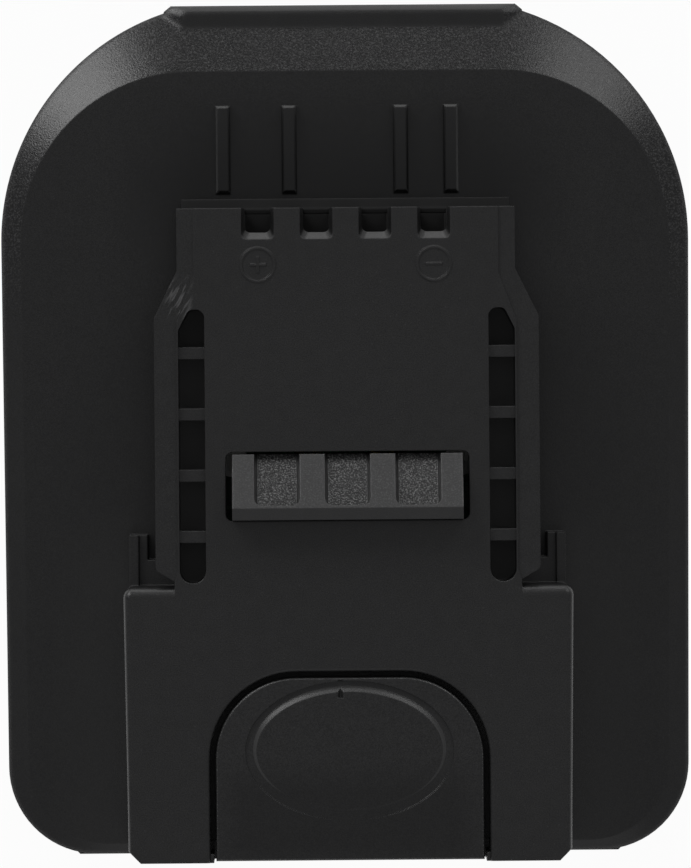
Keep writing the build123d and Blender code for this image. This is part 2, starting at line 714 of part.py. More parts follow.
def case_places():
    """Where the six case screws stand."""
    places = [
        (BODY_W / 2 - CASE_HEAD_SIDE_INSET, HEAD_Y - CASE_HEAD_INSET),
        (CASE_SIDE_X, HEEL_Y + BODY_L * CASE_MIDDLE_SHARE),
        (CASE_SIDE_X, HEEL_Y + CASE_HEEL_UP),
    ]
    return [(side * x, y) for x, y in places for side in SIDES]


def holder_places():
    """Where the two terminal block screws stand."""
    x = HOLDER_W / 2 + HOLDER_EAR_W / 2
    y = HOLDER_BACK_Y - HOLDER_GAP - HOLDER_EAR_L / 2
    return [(side * x, y) for side in SIDES]


def board_places():
    """Where the four board screws stand."""
    x = BOARD_W / 2 - BOARD_POST_INSET
    head_y = BOARD_HEAD_Y - BOARD_POST_INSET
    heel_y = BOARD_HEAD_Y - BOARD_L + BOARD_POST_INSET
    return [(side * x, y) for y in (head_y, heel_y) for side in SIDES]


def spring_places():
    """Where the two latch springs stand."""
    return [(side * SPRING_X, SHOULDER_Y - SPRING_SETBACK) for side in SIDES]


def tool_side_screws():
    """Place, boss and bore of every screw that ends in the tool side shell."""
    top_z = CEILING_Z + TOP_T / 2
    plate_z = PLATE_Z - PLATE_T / 2
    retainer_tip_z = RETAINER_Z + SMALL_SCREW_L
    carrier_tip_z = CARRIER_EAR_Z + SMALL_SCREW_L
    case = (CASE_BOSS_SPLIT_Z, plate_z, CASE_UPPER_BOSS_R, CASE_SCREW_R, CASE_TIP_Z)
    retainer = (RETAINER_TOP_Z, top_z, RETAINER_BOSS_R, SMALL_SCREW_R, retainer_tip_z)
    carrier = (CARRIER_EAR_TOP_Z, top_z, CARRIER_BOSS_R, SMALL_SCREW_R, carrier_tip_z)
    groups = ((case_places(), case), (retainer_places(), retainer), (carrier_places(), carrier))
    return [(place, sizes) for places, sizes in groups for place in places]


def tool_side_shell():
    """Plate, rail and block in one moulding, hollow behind."""
    shell = domed_form(0, 0) - head_cut() - domed_form(WALL, PLATE_T)
    shell += [hood(), rail(), release_block(), collar()]
    shell -= inner_hollow()
    for (x, y), (low_z, high_z, radius, bore_r, tip_z) in tool_side_screws():
        shell += rod(x, y, low_z, high_z, radius)
    for (x, y), (low_z, high_z, radius, bore_r, tip_z) in tool_side_screws():
        shell -= rod(x, y, low_z - OVERRUN, tip_z, bore_r)
    for side in SIDES:
        shell -= coring_slot(side)
        shell += slot_webs(side)
    for x in TERMINAL_X:
        shell -= terminal_slot(x)
    shell -= latch_openings()
    shell += [nose_lip()] + opening_lips()
    shell += key_ribs()
    shell += polarity_mark(TERMINAL_X[0], True)
    shell += polarity_mark(TERMINAL_X[-1], False)
    return shell


def end_pad(width, inner_y, outer_y, corner_w, corner_l):
    """A flat end with cut corners that stands a little proud of the rounded outline."""
    corner_y = outer_y - math.copysign(corner_l, outer_y)
    points = [(width / 2, inner_y), (width / 2, corner_y), (width / 2 - corner_w, outer_y)]
    return prism(outline(mirrored(points)), REAR_EDGE_BEVEL, PARTING_Z)


def rear_form():
    """The outer form of the battery side, with bevelled rear edges and both end pads."""
    rest_face = edge_outline(REAR_EDGE_BEVEL)
    bevel_face = Pos(0, 0, REAR_EDGE_BEVEL) * edge_outline(0)
    form = loft([rest_face, bevel_face], ruled=True) + prism(edge_outline(0), REAR_EDGE_BEVEL, PARTING_Z)
    form -= head_cut()
    form += end_pad(HEAD_PAD_W, SHELL_HEAD_Y - WALL, HEAD_Y, HOOD_CORNER_W, HOOD_CORNER_L)
    form += end_pad(HEEL_PAD_W, SHELL_HEEL_Y + WALL, HEEL_Y, PAD_BEVEL, PAD_BEVEL)
    return form


def rear_hollow():
    """The hollow of the rear tray above its floor."""
    top_z = PARTING_Z + OVERRUN
    cut = centred(BODY_W, SHELL_HEAD_Y - WALL, HEAD_Y + CROWN_RISE, FLOOR_T, top_z)
    return prism(edge_outline(WALL), FLOOR_T, top_z) - cut


def bay_hollow():
    """The stepped slot that the battery's rail slides into, with a lead-in at its mouth."""
    mouth_y = HEEL_Y - OVERRUN
    throat = centred(BAY_THROAT_W, mouth_y, BAY_END_Y, -OVERRUN, BAY_DEPTH)
    grooves = centred(BAY_GROOVE_W, mouth_y, BAY_END_Y, BAY_LIP_T, BAY_GROOVE_Z)
    parts = [throat, grooves]
    for side in SIDES:
        points = [
            (side * BAY_THROAT_W / 2, HEEL_Y + BAY_LEAD_IN * 2),
            (side * BAY_THROAT_W / 2, mouth_y),
            (side * (BAY_THROAT_W / 2 + BAY_LEAD_IN), mouth_y),
            (side * (BAY_THROAT_W / 2 + BAY_LEAD_IN), HEEL_Y),
        ]
        parts.append(prism(outline(points), -OVERRUN, BAY_LIP_T + OVERRUN))
    return parts


def holder_window():
    """The window in the end wall of the bay that the terminal block fills."""
    width = HOLDER_W + HOLDER_GAP * 2
    low_y = BAY_END_Y - OVERRUN
    high_y = BAY_END_Y + WALL + OVERRUN
    return centred(width, low_y, high_y, HOLDER_Z - HOLDER_GAP, HOLDER_TOP_Z + HOLDER_GAP)


def battery_side_shell():
    """Rear tray with the battery bay, its rails and the catch recess."""
    shell = rear_form() - rear_hollow()
    shell += centred(BAY_GROOVE_W + WALL * 2, SHELL_HEEL_Y, BAY_END_Y + WALL, 0, BAY_ROOF_Z)
    catch_head_y = CATCH_Y + CATCH_L + CATCH_WALL
    catch_w = CATCH_W + CATCH_WALL * 2
    shell += centred(catch_w, CATCH_Y - CATCH_WALL, catch_head_y, BAY_DEPTH, CATCH_Z + CATCH_WALL)
    for x, y in case_places():
        shell += rod(x, y, 0, CASE_BOSS_SPLIT_Z, CASE_BOSS_R)
    for x, y in holder_places():
        shell += rod(x, y, FLOOR_T / 2, HOLDER_EAR_Z, HOLDER_BOSS_R)
    for x, y in board_places():
        shell += rod(x, y, BAY_DEPTH + WALL / 2, BOARD_Z, BOARD_POST_R)
    shell -= bay_hollow()
    shell -= centred(CATCH_W, CATCH_Y, CATCH_Y + CATCH_L, BAY_DEPTH - OVERRUN, CATCH_Z)
    shell -= holder_window()
    for x, y in case_places():
        shell -= rod(x, y, -OVERRUN, CASE_SINK_DEPTH, CASE_SINK_R)
        shell -= rod(x, y, 0, CASE_BOSS_SPLIT_Z + OVERRUN, CASE_SCREW_R + SCREW_CLEARANCE)
    for x, y in holder_places():
        shell -= rod(x, y, FLOOR_T / 2, HOLDER_EAR_Z + OVERRUN, SMALL_SCREW_R)
    for x, y in board_places():
        shell -= rod(x, y, BOARD_TOP_Z - BOARD_SCREW_L, BOARD_Z + OVERRUN, SMALL_SCREW_R)
    return shell


def hook():
    """A ramp that rises towards the heel end, with three shallow pockets."""
    head_y = WINDOW_HEAD_Y - LATCH_GAP
    heel_y = WINDOW_HEEL_Y + HOOK_HEEL_GAP
    crest_z = FACE_Z + HOOK_RISE
    crest_y = heel_y + HOOK_CREST_L
    profile = [
        (head_y, DECK_LOW_Z),
        (head_y, FACE_Z),
        (crest_y, crest_z),
        (heel_y, crest_z),
        (heel_y, DECK_LOW_Z),
    ]
    form = side_prism(profile, -HOOK_W / 2, HOOK_W / 2)
    ramp_l = math.hypot(head_y - crest_y, HOOK_RISE)
    across = Vector(0, HOOK_RISE / ramp_l, (head_y - crest_y) / ramp_l)
    ramp = Plane(origin=(0, crest_y, crest_z), x_dir=(1, 0, 0), z_dir=across)
    floor = ramp.offset(-HOOK_POCKET_DEPTH)
    far = ramp_l + OVERRUN * 2
    for index in (-1, 0, 1):
        x = index * HOOK_POCKET_PITCH
        face = floor * open_arch(HOOK_POCKET_W / 2, far, HOOK_POCKET_CREST_GAP, HOOK_POCKET_R, x)
        form -= extrude(face, amount=HOOK_POCKET_DEPTH + OVERRUN, dir=across, taper=-HOOK_POCKET_DRAFT)
    return form


def oval(inset):
    """The finger pad's outline on the button, drawn in from the groove's outer edge."""
    y = BLOCK_END_Y + BLOCK_L * FINGER_PAD_UP_SHARE
    length = BLOCK_L * FINGER_PAD_L_SHARE
    return Pos(0, y, 0) * Ellipse(FINGER_PAD_W / 2 - inset, length / 2 - inset)


def finger_groove():
    """A groove round the finger pad, deep at the head end and fading out at the heel end."""
    y = BLOCK_END_Y + BLOCK_L * FINGER_PAD_UP_SHARE
    half_l = BLOCK_L * FINGER_PAD_L_SHARE / 2
    top_z = BUTTON_Z + OVERRUN
    points = [
        (y + half_l, BUTTON_Z - FINGER_GROOVE_DEPTH),
        (y + half_l, top_z),
        (y - half_l, top_z),
        (y - half_l, BUTTON_Z),
    ]
    wedge = side_prism(points, -FINGER_PAD_W / 2, FINGER_PAD_W / 2)
    return wedge & prism(oval(0), BUTTON_Z - FINGER_GROOVE_DEPTH, top_z)


def finger_pad():
    """The oval pad inside the groove, with a sloping rim."""
    low_z = BUTTON_Z - FINGER_GROOVE_DEPTH
    low_face = Pos(0, 0, low_z) * oval(FINGER_GROOVE_W)
    high_face = Pos(0, 0, BUTTON_Z) * oval(FINGER_GROOVE_W + FINGER_RIM_W)
    return loft([low_face, high_face], ruled=True)


def button(outer_y):
    """The D form of the button, with its finger pad and a small nick at the pad's head end."""
    head_y = BUTTON_OPENING_Y - BUTTON_GAP
    face = open_arch(BUTTON_W / 2, outer_y, head_y, BUTTON_OPENING_R - BUTTON_GAP)
    form = prism(face, DECK_LOW_Z, BUTTON_Z)
    form = fillet(form.faces().sort_by(Axis.Z)[-1].edges(), BUTTON_EDGE_R)
    form = form - finger_groove() + finger_pad()
    nick = Rot(0, INDEX_NICK_TURN, 0) * Box(INDEX_NICK_W, INDEX_NICK_L, INDEX_NICK_W)
    return form - Pos(INDEX_NICK_X, head_y - BUTTON_EDGE_R - INDEX_NICK_L / 2, BUTTON_Z) * nick


def release_latch():
    """Hook, deck and button in one moulding that moves straight down."""
    outer_y = BLOCK_END_Y + BUTTON_DROP
    inner_y = HOLLOW_HEEL_Y + LATCH_GAP
    passage_y = HOLLOW_SHOULDER_Y - LATCH_GAP * 2
    post_z = DECK_TOP_Z - DECK_T / 2
    latch = centred(HOOK_W, passage_y - OVERRUN, WINDOW_HEAD_Y - LATCH_GAP, DECK_LOW_Z, DECK_TOP_Z)
    latch += centred(DECK_W, inner_y, passage_y, DECK_LOW_Z, DECK_TOP_Z)
    latch += centred(BUTTON_W, inner_y, inner_y + APRON_T, STOP_Z, post_z)
    latch += [hook(), button(outer_y)]
    for y in (BUTTON_OPENING_Y - STOP_LEG_INSET, inner_y + APRON_T + STOP_LEG_INSET):
        for side in SIDES:
            latch += rod(side * STOP_LEG_X, y, STOP_Z, post_z, STOP_LEG_R)
    for x, y in spring_places():
        latch += rod(x, y, DECK_LOW_Z - SPRING_POST_L, post_z, SPRING_R - SPRING_WIRE - SPRING_POST_GAP)
    return latch


def latch_spring(x, y):
    """The sleeve of space that a latch spring's coils fill."""
    high_z = DECK_LOW_Z - SPRING_GAP
    outside = rod(x, y, RETAINER_TOP_Z, high_z, SPRING_R)
    return outside - rod(x, y, RETAINER_TOP_Z, high_z, SPRING_R - SPRING_WIRE)


def latch_retainer():
    """A plate under the latch with a cup for each spring."""
    low_y = HOLLOW_HEEL_Y + RETAINER_END_GAP
    high_y = HOLLOW_SHOULDER_Y - RETAINER_END_GAP
    plate = centred(RETAINER_W, low_y, high_y, RETAINER_Z, RETAINER_TOP_Z)
    cup_r = SPRING_R + SPRING_CUP_GAP
    cup_z = RETAINER_TOP_Z + SPRING_CUP_H
    for x, y in spring_places():
        plate += rod(x, y, RETAINER_Z, cup_z, cup_r + SPRING_CUP_WALL)
        plate -= rod(x, y, RETAINER_TOP_Z, cup_z + OVERRUN, cup_r)
    for x, y in retainer_places():
        plate -= rod(x, y, RETAINER_Z - OVERRUN, RETAINER_TOP_Z + OVERRUN, SMALL_SCREW_R)
    return plate


def contact_pocket(x):
    """The room round one contact, with a slit for its tail."""
    half = CONTACT_OUT + CONTACT_FLARE + CONTACT_GAP
    far_y = CARRIER_Y + OVERRUN
    body = span(x - half, x + half, CONTACT_BACK_Y, far_y, CONTACT_Z, CONTACT_TOP_Z + CONTACT_GAP)
    slit_y = CONTACT_BACK_Y + CONTACT_T
    low_z = CARRIER_Z - OVERRUN
    slit = span(x - CONTACT_OUT, x + CONTACT_OUT, CONTACT_BACK_Y, slit_y, low_z, CONTACT_Z + OVERRUN)
    return body + slit


def terminal_carrier():
    """A moulded holder for the four contacts, screwed up into the nose."""
    carrier = centred(CARRIER_W, CARRIER_BACK_Y, CARRIER_Y, CARRIER_Z, CARRIER_TOP_Z)
    ear_y = CARRIER_BACK_Y - CARRIER_EAR_L
    carrier += centred(CARRIER_W, ear_y, CARRIER_BACK_Y, CARRIER_EAR_Z, CARRIER_EAR_TOP_Z)
    for x in TERMINAL_X:
        carrier -= contact_pocket(x)
    for x, y in carrier_places():
        carrier -= rod(x, y, CARRIER_EAR_Z - OVERRUN, CARRIER_EAR_TOP_Z + OVERRUN, SMALL_SCREW_R)
    return carrier


def tool_contact(x):
    """A folded contact: two leaves with flared tips, a back and a tail."""
    inner = CONTACT_MOUTH / 2
    leaf_y = CONTACT_Y - CONTACT_FLARE_L
    back_y = CONTACT_BACK_Y + CONTACT_T
    contact = span(x - CONTACT_OUT, x + CONTACT_OUT, CONTACT_BACK_Y, back_y, TAIL_END_Z, CONTACT_TOP_Z)
    for side in SIDES:
        points = [
            (x + side * inner, CONTACT_BACK_Y),
            (x + side * CONTACT_OUT, CONTACT_BACK_Y),
            (x + side * CONTACT_OUT, leaf_y),
            (x + side * (CONTACT_OUT + CONTACT_FLARE), CONTACT_Y),
            (x + side * (inner + CONTACT_FLARE), CONTACT_Y),
            (x + side * inner, leaf_y),
        ]
        contact += prism(outline(points), CONTACT_Z, CONTACT_TOP_Z)
    return contact


def battery_terminal_block():
    """The block that holds the battery blades in the end wall of the bay."""
    block = centred(HOLDER_W, BAY_END_Y, HOLDER_BACK_Y, HOLDER_Z, HOLDER_TOP_Z)
    ear_y = HOLDER_BACK_Y - HOLDER_GAP
    ear_w = HOLDER_W + HOLDER_EAR_W * 2
    block += centred(ear_w, ear_y - HOLDER_EAR_L, ear_y, HOLDER_EAR_Z, HOLDER_EAR_TOP_Z)
    for x, y in holder_places():
        block -= rod(x, y, HOLDER_EAR_Z - OVERRUN, HOLDER_EAR_TOP_Z + OVERRUN, SMALL_SCREW_R)
    half = BLADE_T / 2
    for x in BLADE_X:
        block -= span(x - half, x + half, BAY_END_Y - OVERRUN, HOLDER_BACK_Y + OVERRUN, BLADE_Z, BLADE_TOP_Z)
    return block


def battery_blade(x):
    """A flat blade with a pointed tip that enters the battery's slot."""
    tip_y = BAY_END_Y - BLADE_L
    tail_y = HOLDER_BACK_Y + BLADE_TAIL_L
    points = [
        (tip_y, BLADE_Z + BLADE_TIP),
        (tip_y + BLADE_TIP, BLADE_Z),
        (tail_y, BLADE_Z),
        (tail_y, BLADE_TOP_Z),
        (tip_y + BLADE_TIP, BLADE_TOP_Z),
        (tip_y, BLADE_TOP_Z - BLADE_TIP),
    ]
    return side_prism(points, x - BLADE_T / 2, x + BLADE_T / 2)


def circuit_board():
    """A small board that passes the battery's signals to the tool."""
    board = centred(BOARD_W, BOARD_HEAD_Y - BOARD_L, BOARD_HEAD_Y, BOARD_Z, BOARD_TOP_Z)
    for x, y in board_places():
        board -= rod(x, y, BOARD_Z - OVERRUN, BOARD_TOP_Z + OVERRUN, SMALL_SCREW_R)
    return board


def on_board(x, inset_share, width, length, height):
    """A flat component that lies on the board."""
    y = BOARD_HEAD_Y - BOARD_L * inset_share
    return Pos(x, y, BOARD_TOP_Z + height / 2) * Box(width, length, height)


def board_capacitor():
    """An upright can capacitor."""
    y = BOARD_HEAD_Y - BOARD_L * CAPACITOR_INSET_SHARE
    return rod(CAPACITOR_X, y, BOARD_TOP_Z, BOARD_TOP_Z + CAPACITOR_H, CAPACITOR_R)


def board_resistors():
    """A row of flat resistors."""
    places = [(index - (RESISTOR_COUNT - 1) / 2) * RESISTOR_PITCH for index in range(RESISTOR_COUNT)]
    sizes = (RESISTOR_INSET_SHARE, RESISTOR_W, RESISTOR_L, RESISTOR_H)
    return Compound([on_board(x, *sizes) for x in places])


def lead(points, radius):
    """A round lead along straight runs joined by arcs as large as the runs allow."""
    places = [Vector(*point) for point in points]
    runs = [high - low for low, high in zip(places, places[1:])]
    radii = []
    for first, second in zip(runs, runs[1:]):
        half_turn = math.radians(first.get_angle(second)) / 2
        radii.append(BEND_SHARE * min(first.length, second.length) / math.tan(half_turn))
    path = FilletPolyline(*places, radius=radii)
    section = Plane(origin=places[0], z_dir=runs[0]) * Circle(radius)
    solid = sweep(section, path=path)
    section_share = solid.volume / (math.pi * radius ** 2 * path.length)
    print("lead bend radii", [round(bend, 2) for bend in radii], "volume share", round(section_share, 4))
    return solid


def power_lead(side):
    """From an outer blade's tail, over the bay roof, up to an outer contact's tail."""
    blade_x = BLADE_OUTER_X * side
    contact_x = TERMINAL_X[-1] * side
    points = [
        (blade_x, TAIL_LEAD_Y, BLADE_TOP_Z),
        (blade_x, TAIL_LEAD_Y, POWER_LEAD_Z),
        (blade_x, BAY_END_Y - POWER_TURN_GAP, POWER_LEAD_Z),
        (contact_x, RISER_Y, POWER_LEAD_Z),
        (contact_x, RISER_Y, TAIL_END_Z),
    ]
    return lead(points, POWER_LEAD_R)


def battery_lead(side):
    """From an inner blade's tail to the board."""
    x = BLADE_INNER_X * side
    pad_y = BOARD_HEAD_Y - SIGNAL_PAD_INSET
    points = [
        (x, TAIL_LEAD_Y, BLADE_TOP_Z),
        (x, TAIL_LEAD_Y, SIGNAL_LEAD_Z),
        (x, pad_y, SIGNAL_LEAD_Z),
        (x, pad_y, BOARD_TOP_Z),
    ]
    return lead(points, SIGNAL_LEAD_R)


def tool_lead(side):
    """From the board up to an inner contact's tail."""
    x = TERMINAL_PITCH / 2 * side
    pad_y = BOARD_HEAD_Y - LINK_PAD_INSET
    points = [
        (x, pad_y, BOARD_TOP_Z),
        (x, pad_y, LINK_LEAD_Z),
        (x, RISER_Y, LINK_LEAD_Z),
        (x, RISER_Y, TAIL_END_Z),
    ]
    return lead(points, SIGNAL_LEAD_R)


def upright_screw(radius, length, head_radius, head_height):
    """A screw that points up, with its head's seat at Z = 0 and a cross recess below."""
    reach = head_radius * CROSS_SHARE
    half = head_radius * CROSS_WIDTH_SHARE
    depth = head_height * CROSS_DEPTH_SHARE
    body = rod(0, 0, -head_height, 0, head_radius) + rod(0, 0, 0, length, radius)
    body -= span(-reach, reach, -half, half, -head_height, depth - head_height)
    body -= span(-half, half, -reach, reach, -head_height, depth - head_height)
    return body


def screws_up(places, seat_z, length, radius, head_radius, head_height):
    """A group of screws that go in from the battery side."""
    sample = upright_screw(radius, length, head_radius, head_height)
    return Compound([Pos(x, y, seat_z) * sample for x, y in places])


def screws_down(places, seat_z, length):
    """A group of small screws that go in from the tool side."""
    sample = Rot(180, 0, 0) * upright_screw(SMALL_SCREW_R, length, SMALL_HEAD_R, SMALL_HEAD_H)
    return Compound([Pos(x, y, seat_z) * sample for x, y in places])


def screw_nodes():
    """The screws, one node for each group of the same kind and place."""
    small = (SMALL_SCREW_L, SMALL_SCREW_R, SMALL_HEAD_R, SMALL_HEAD_H)
    case = (CASE_SCREW_L, CASE_SCREW_R, CASE_HEAD_R, CASE_HEAD_H)
    holder_l = HOLDER_EAR_TOP_Z - FLOOR_T / 2
    return {
        "case_screws": screws_up(case_places(), CASE_SINK_DEPTH, *case),
        "retainer_screws": screws_up(retainer_places(), RETAINER_Z, *small),
        "carrier_screws": screws_up(carrier_places(), CARRIER_EAR_Z, *small),
        "terminal_block_screws": screws_down(holder_places(), HOLDER_EAR_TOP_Z, holder_l),
        "board_screws": screws_down(board_places(), BOARD_TOP_Z, BOARD_SCREW_L),
    }


def build_nodes():
    """Every named node of the adapter."""
    nodes = {
        "tool_side_shell": tool_side_shell(),
        "battery_side_shell": battery_side_shell(),
        "release_latch": release_latch(),
        "latch_retainer": latch_retainer(),
        "terminal_carrier": terminal_carrier(),
        "battery_terminal_block": battery_terminal_block(),
        "circuit_board": circuit_board(),
        "board_chip": on_board(CHIP_X, CHIP_INSET_SHARE, CHIP_W, CHIP_L, CHIP_H),
        "board_capacitor": board_capacitor(),
        "board_resistors": board_resistors(),
    }
    nodes.update(screw_nodes())
    for name, place in zip(("left", "right"), spring_places()):
        nodes["latch_spring_" + name] = latch_spring(*place)
    for name, contact_x, blade_x in zip(POLES, TERMINAL_X, BLADE_X):
        nodes["tool_contact_" + name] = tool_contact(contact_x)
        nodes["battery_blade_" + name] = battery_blade(blade_x)
    for power_name, signal_name, side in zip((POLES[0], POLES[-1]), POLES[1:-1], SIDES):
        nodes["power_lead_" + power_name] = power_lead(side)
        nodes["battery_lead_" + signal_name] = battery_lead(side)
        nodes["tool_lead_" + signal_name] = tool_lead(side)
    return nodes


os.makedirs("parts", exist_ok=True)
for node_name, shape in build_nodes().items():
    export_step(shape, os.path.join("parts", node_name + ".step"))
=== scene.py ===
# %% [markdown]
# # A battery adapter in black moulded plastic
# The adapter lets one maker's battery drive another maker's tool. It is two plastic shells with a slide
# rail on the tool side and a slide-in bay on the battery side. The shapes come from the construction
# model, so this lesson is about finish: grain, worn edges, soft light and a camera that looks straight down.

# %% Load the construction model
import math

import bpy
import numpy as np
from mathutils import Euler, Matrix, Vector


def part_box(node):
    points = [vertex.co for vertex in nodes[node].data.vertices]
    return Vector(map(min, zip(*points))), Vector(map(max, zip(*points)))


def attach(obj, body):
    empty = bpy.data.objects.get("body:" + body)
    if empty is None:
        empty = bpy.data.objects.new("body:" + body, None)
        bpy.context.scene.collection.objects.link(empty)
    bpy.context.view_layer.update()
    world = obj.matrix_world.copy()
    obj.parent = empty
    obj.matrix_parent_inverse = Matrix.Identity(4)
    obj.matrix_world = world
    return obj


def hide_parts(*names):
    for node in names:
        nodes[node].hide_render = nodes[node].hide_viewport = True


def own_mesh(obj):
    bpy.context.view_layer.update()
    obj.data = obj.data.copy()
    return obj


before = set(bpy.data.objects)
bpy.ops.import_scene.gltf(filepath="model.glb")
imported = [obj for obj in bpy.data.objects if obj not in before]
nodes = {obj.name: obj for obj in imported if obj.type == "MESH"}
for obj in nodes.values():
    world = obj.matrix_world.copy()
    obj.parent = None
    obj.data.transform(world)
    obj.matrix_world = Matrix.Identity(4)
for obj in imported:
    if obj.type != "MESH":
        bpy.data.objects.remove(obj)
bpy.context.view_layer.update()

MM = 0.001

# %% [markdown]
# ## The camera
# The picture was taken from straight above with a long lens, so upright walls almost vanish. A lens is
# found from what it has to frame: the long side of the picture covers a known width at a known height
# above the floor. The camera stood a few millimetres to the left of the middle, and was rolled a little.

# %% Camera
IMAGE_H = 868
CAMERA_DISTANCE = 900 * MM
CLIP_START = 10 * MM
FOCUS_Z = 20 * MM
COVERED = 101.4 * MM
SENSOR = 36.0
AIM_X = -0.08 * MM
AIM_Y = -0.6 * MM
CAMERA_LEAN = math.radians(0.3)
CAMERA_ROLL = math.radians(-0.46)

scene = bpy.context.scene
camera_data = bpy.data.cameras.new("studio_camera")
camera_data.sensor_width = SENSOR
camera_data.lens = SENSOR * CAMERA_DISTANCE / COVERED
camera_data.clip_start = CLIP_START
camera = bpy.data.objects.new("studio_camera", camera_data)
camera_turn = Euler((0, -CAMERA_LEAN, CAMERA_ROLL), "XYZ")
camera.rotation_euler = camera_turn
camera.location = Vector((AIM_X, AIM_Y, FOCUS_Z)) + camera_turn.to_matrix() @ Vector((0, 0, CAMERA_DISTANCE))
scene.collection.objects.link(camera)
scene.camera = camera
print("lens", round(camera_data.lens, 1), "pixel, mm", round(COVERED / IMAGE_H / MM, 4))

# %% [markdown]
# ## Soft light
# Black plastic shows its shape through what it mirrors. One large lamp stands behind the head end on the
# left and brightens the chamfer there, and one on the right keeps that side readable. A low one behind
# the head end draws a line of light on small edges that face it, and a weak one fills from the heel end.
# No lamp stands straight above, because a flat face would mirror it.

# %% Lamps
LAMP_DISTANCE = 1.0
# name, azimuth and tilt in degrees, side in metres, radiance
LAMPS = (
    ("key_lamp", 126, 56, 0.46, 4.4),
    ("head_lamp", 95, 80, 0.45, 1.8),
    ("side_lamp", 60, 56, 0.46, 2.0),
    ("heel_lamp", -80, 55, 0.7, 0.2),
)


def soft_lamp(name, azimuth, tilt, side, radiance):
    """A square lamp that looks at the object. Azimuth is measured from +X, tilt from straight up.
    Its power is radiance times pi times its area."""
    data = bpy.data.lights.new(name, "AREA")
    data.shape = "SQUARE"
    data.size = side
    data.energy = radiance * math.pi * side ** 2
    lamp = bpy.data.objects.new(name, data)
    turn = Euler((0, math.radians(tilt), math.radians(azimuth)), "XYZ")
    lamp.rotation_euler = turn
    lamp.location = turn.to_matrix() @ Vector((0, 0, LAMP_DISTANCE))
    scene.collection.objects.link(lamp)
    print(name, "power", round(data.energy, 2))


for row in LAMPS:
    soft_lamp(*row)
scene.view_settings.view_transform = "Standard"

# %% [markdown]
# ## Shader helpers
# A finish is a tree of small shader nodes. A few helpers keep such a tree short to write: one adds a node
# and links what it is given, two do sums on values, and one opens a new material.

# %% Shader helpers
def place(tree, kind, sockets=None, **fields):
    """Adds a shader node. A socket takes a value, or a link where the value is another node's socket."""
    made = tree.nodes.new(kind)
    for field, value in fields.items():
        setattr(made, field, value)
    for key, value in (sockets or {}).items():
        if isinstance(value, bpy.types.NodeSocket):
            tree.links.new(value, made.inputs[key])
        else:
            made.inputs[key].default_value = value
    return made


def calc(tree, operation, first, second=0.0, clamp=False):
    """A sum, product or other operation on two values. Clamp keeps the result within 0 to 1."""
    made = place(tree, "ShaderNodeMath", {0: first, 1: second}, operation=operation, use_clamp=clamp)
    return made.outputs[0]


def add_scaled(tree, base, value, factor, clamp=False):
    """base + value * factor."""
    return calc(tree, "ADD", base, calc(tree, "MULTIPLY", value, factor), clamp=clamp)


def new_material(name):
    """An empty material and its node tree, with only an output node in it."""
    material = bpy.data.materials.new(name)
    material.use_nodes = True
    material.node_tree.nodes.clear()
    return material, material.node_tree, material.node_tree.nodes.new("ShaderNodeOutputMaterial")


# %% [markdown]
# ## Room and floor
# The room is an even grey, which fills the shadows. The floor is white: the camera and mirrors see it as
# plain white, and a share of ordinary matt white stays in it, so that the object still has a shadow.

# %% Room
ROOM_GREY = (0.30, 0.30, 0.305, 1)

world = bpy.data.worlds.new("room")
world.use_nodes = True
world.node_tree.nodes["Background"].inputs["Color"].default_value = ROOM_GREY
scene.world = world
print("room grey", ROOM_GREY[:3])

# %% Floor
FLOOR_HALF = 4.0
FLOOR_SHADOW_SHARE = 0.04
MATT_WHITE = (0.8, 0.8, 0.8, 1)
PLAIN_WHITE = (1, 1, 1, 1)


def floor_mesh(half):
    """A square sheet on z = 0: the point for (u, v) is (half * u, half * v, 0), with u and v at -1 and 1."""
    u = np.array([-1.0, 1.0, 1.0, -1.0])
    v = np.array([-1.0, -1.0, 1.0, 1.0])
    points = np.stack([half * u, half * v, np.zeros(len(u))], axis=1)
    mesh = bpy.data.meshes.new("white_floor")
    mesh.from_pydata(points.tolist(), [], [tuple(range(len(u)))])
    return mesh


def floor_material():
    """White to the camera and to mirrors, matt white with shadows for a small share."""
    material, tree, output = new_material("white_floor")
    rays = place(tree, "ShaderNodeLightPath").outputs
    seen = calc(tree, "MAXIMUM", rays["Is Camera Ray"], rays["Is Glossy Ray"])
    seen = calc(tree, "MAXIMUM", seen, rays["Is Transmission Ray"])
    share = calc(tree, "MULTIPLY", seen, 1 - FLOOR_SHADOW_SHARE)
    matt = place(tree, "ShaderNodeBsdfDiffuse", {"Color": MATT_WHITE})
    white = place(tree, "ShaderNodeEmission", {"Color": PLAIN_WHITE, "Strength": 1.0})
    mixed = place(tree, "ShaderNodeMixShader", {0: share, 1: matt.outputs[0], 2: white.outputs[0]})
    tree.links.new(mixed.outputs[0], output.inputs["Surface"])
    return material


floor = bpy.data.objects.new("white_floor", floor_mesh(FLOOR_HALF))
floor.data.materials.append(floor_material())
scene.collection.objects.link(floor)
print("floor half width", FLOOR_HALF)

# %% [markdown]
# ## Effects that several finishes share
# A shader group is a small machine with named knobs. Grain, edges and handling marks are needed by most
# of the plastics here, each with its own values, so each is built once as a group and placed where it is
# wanted. A group only works out numbers, colours and normals. The shader itself stays in the material.

# %% Group maker
def new_group(name, inputs, outputs):
    """An empty shader group. Inputs are (name, kind, value), outputs are (name, kind)."""
    group = bpy.data.node_groups.new(name, "ShaderNodeTree")
    for label, kind, value in inputs:
        group.interface.new_socket(name=label, in_out="INPUT", socket_type=kind).default_value = value
    for label, kind in outputs:
        group.interface.new_socket(name=label, in_out="OUTPUT", socket_type=kind)
    print("group", name, "gives", [label for label, _ in outputs])
    return group, place(group, "NodeGroupInput").outputs, place(group, "NodeGroupOutput").inputs


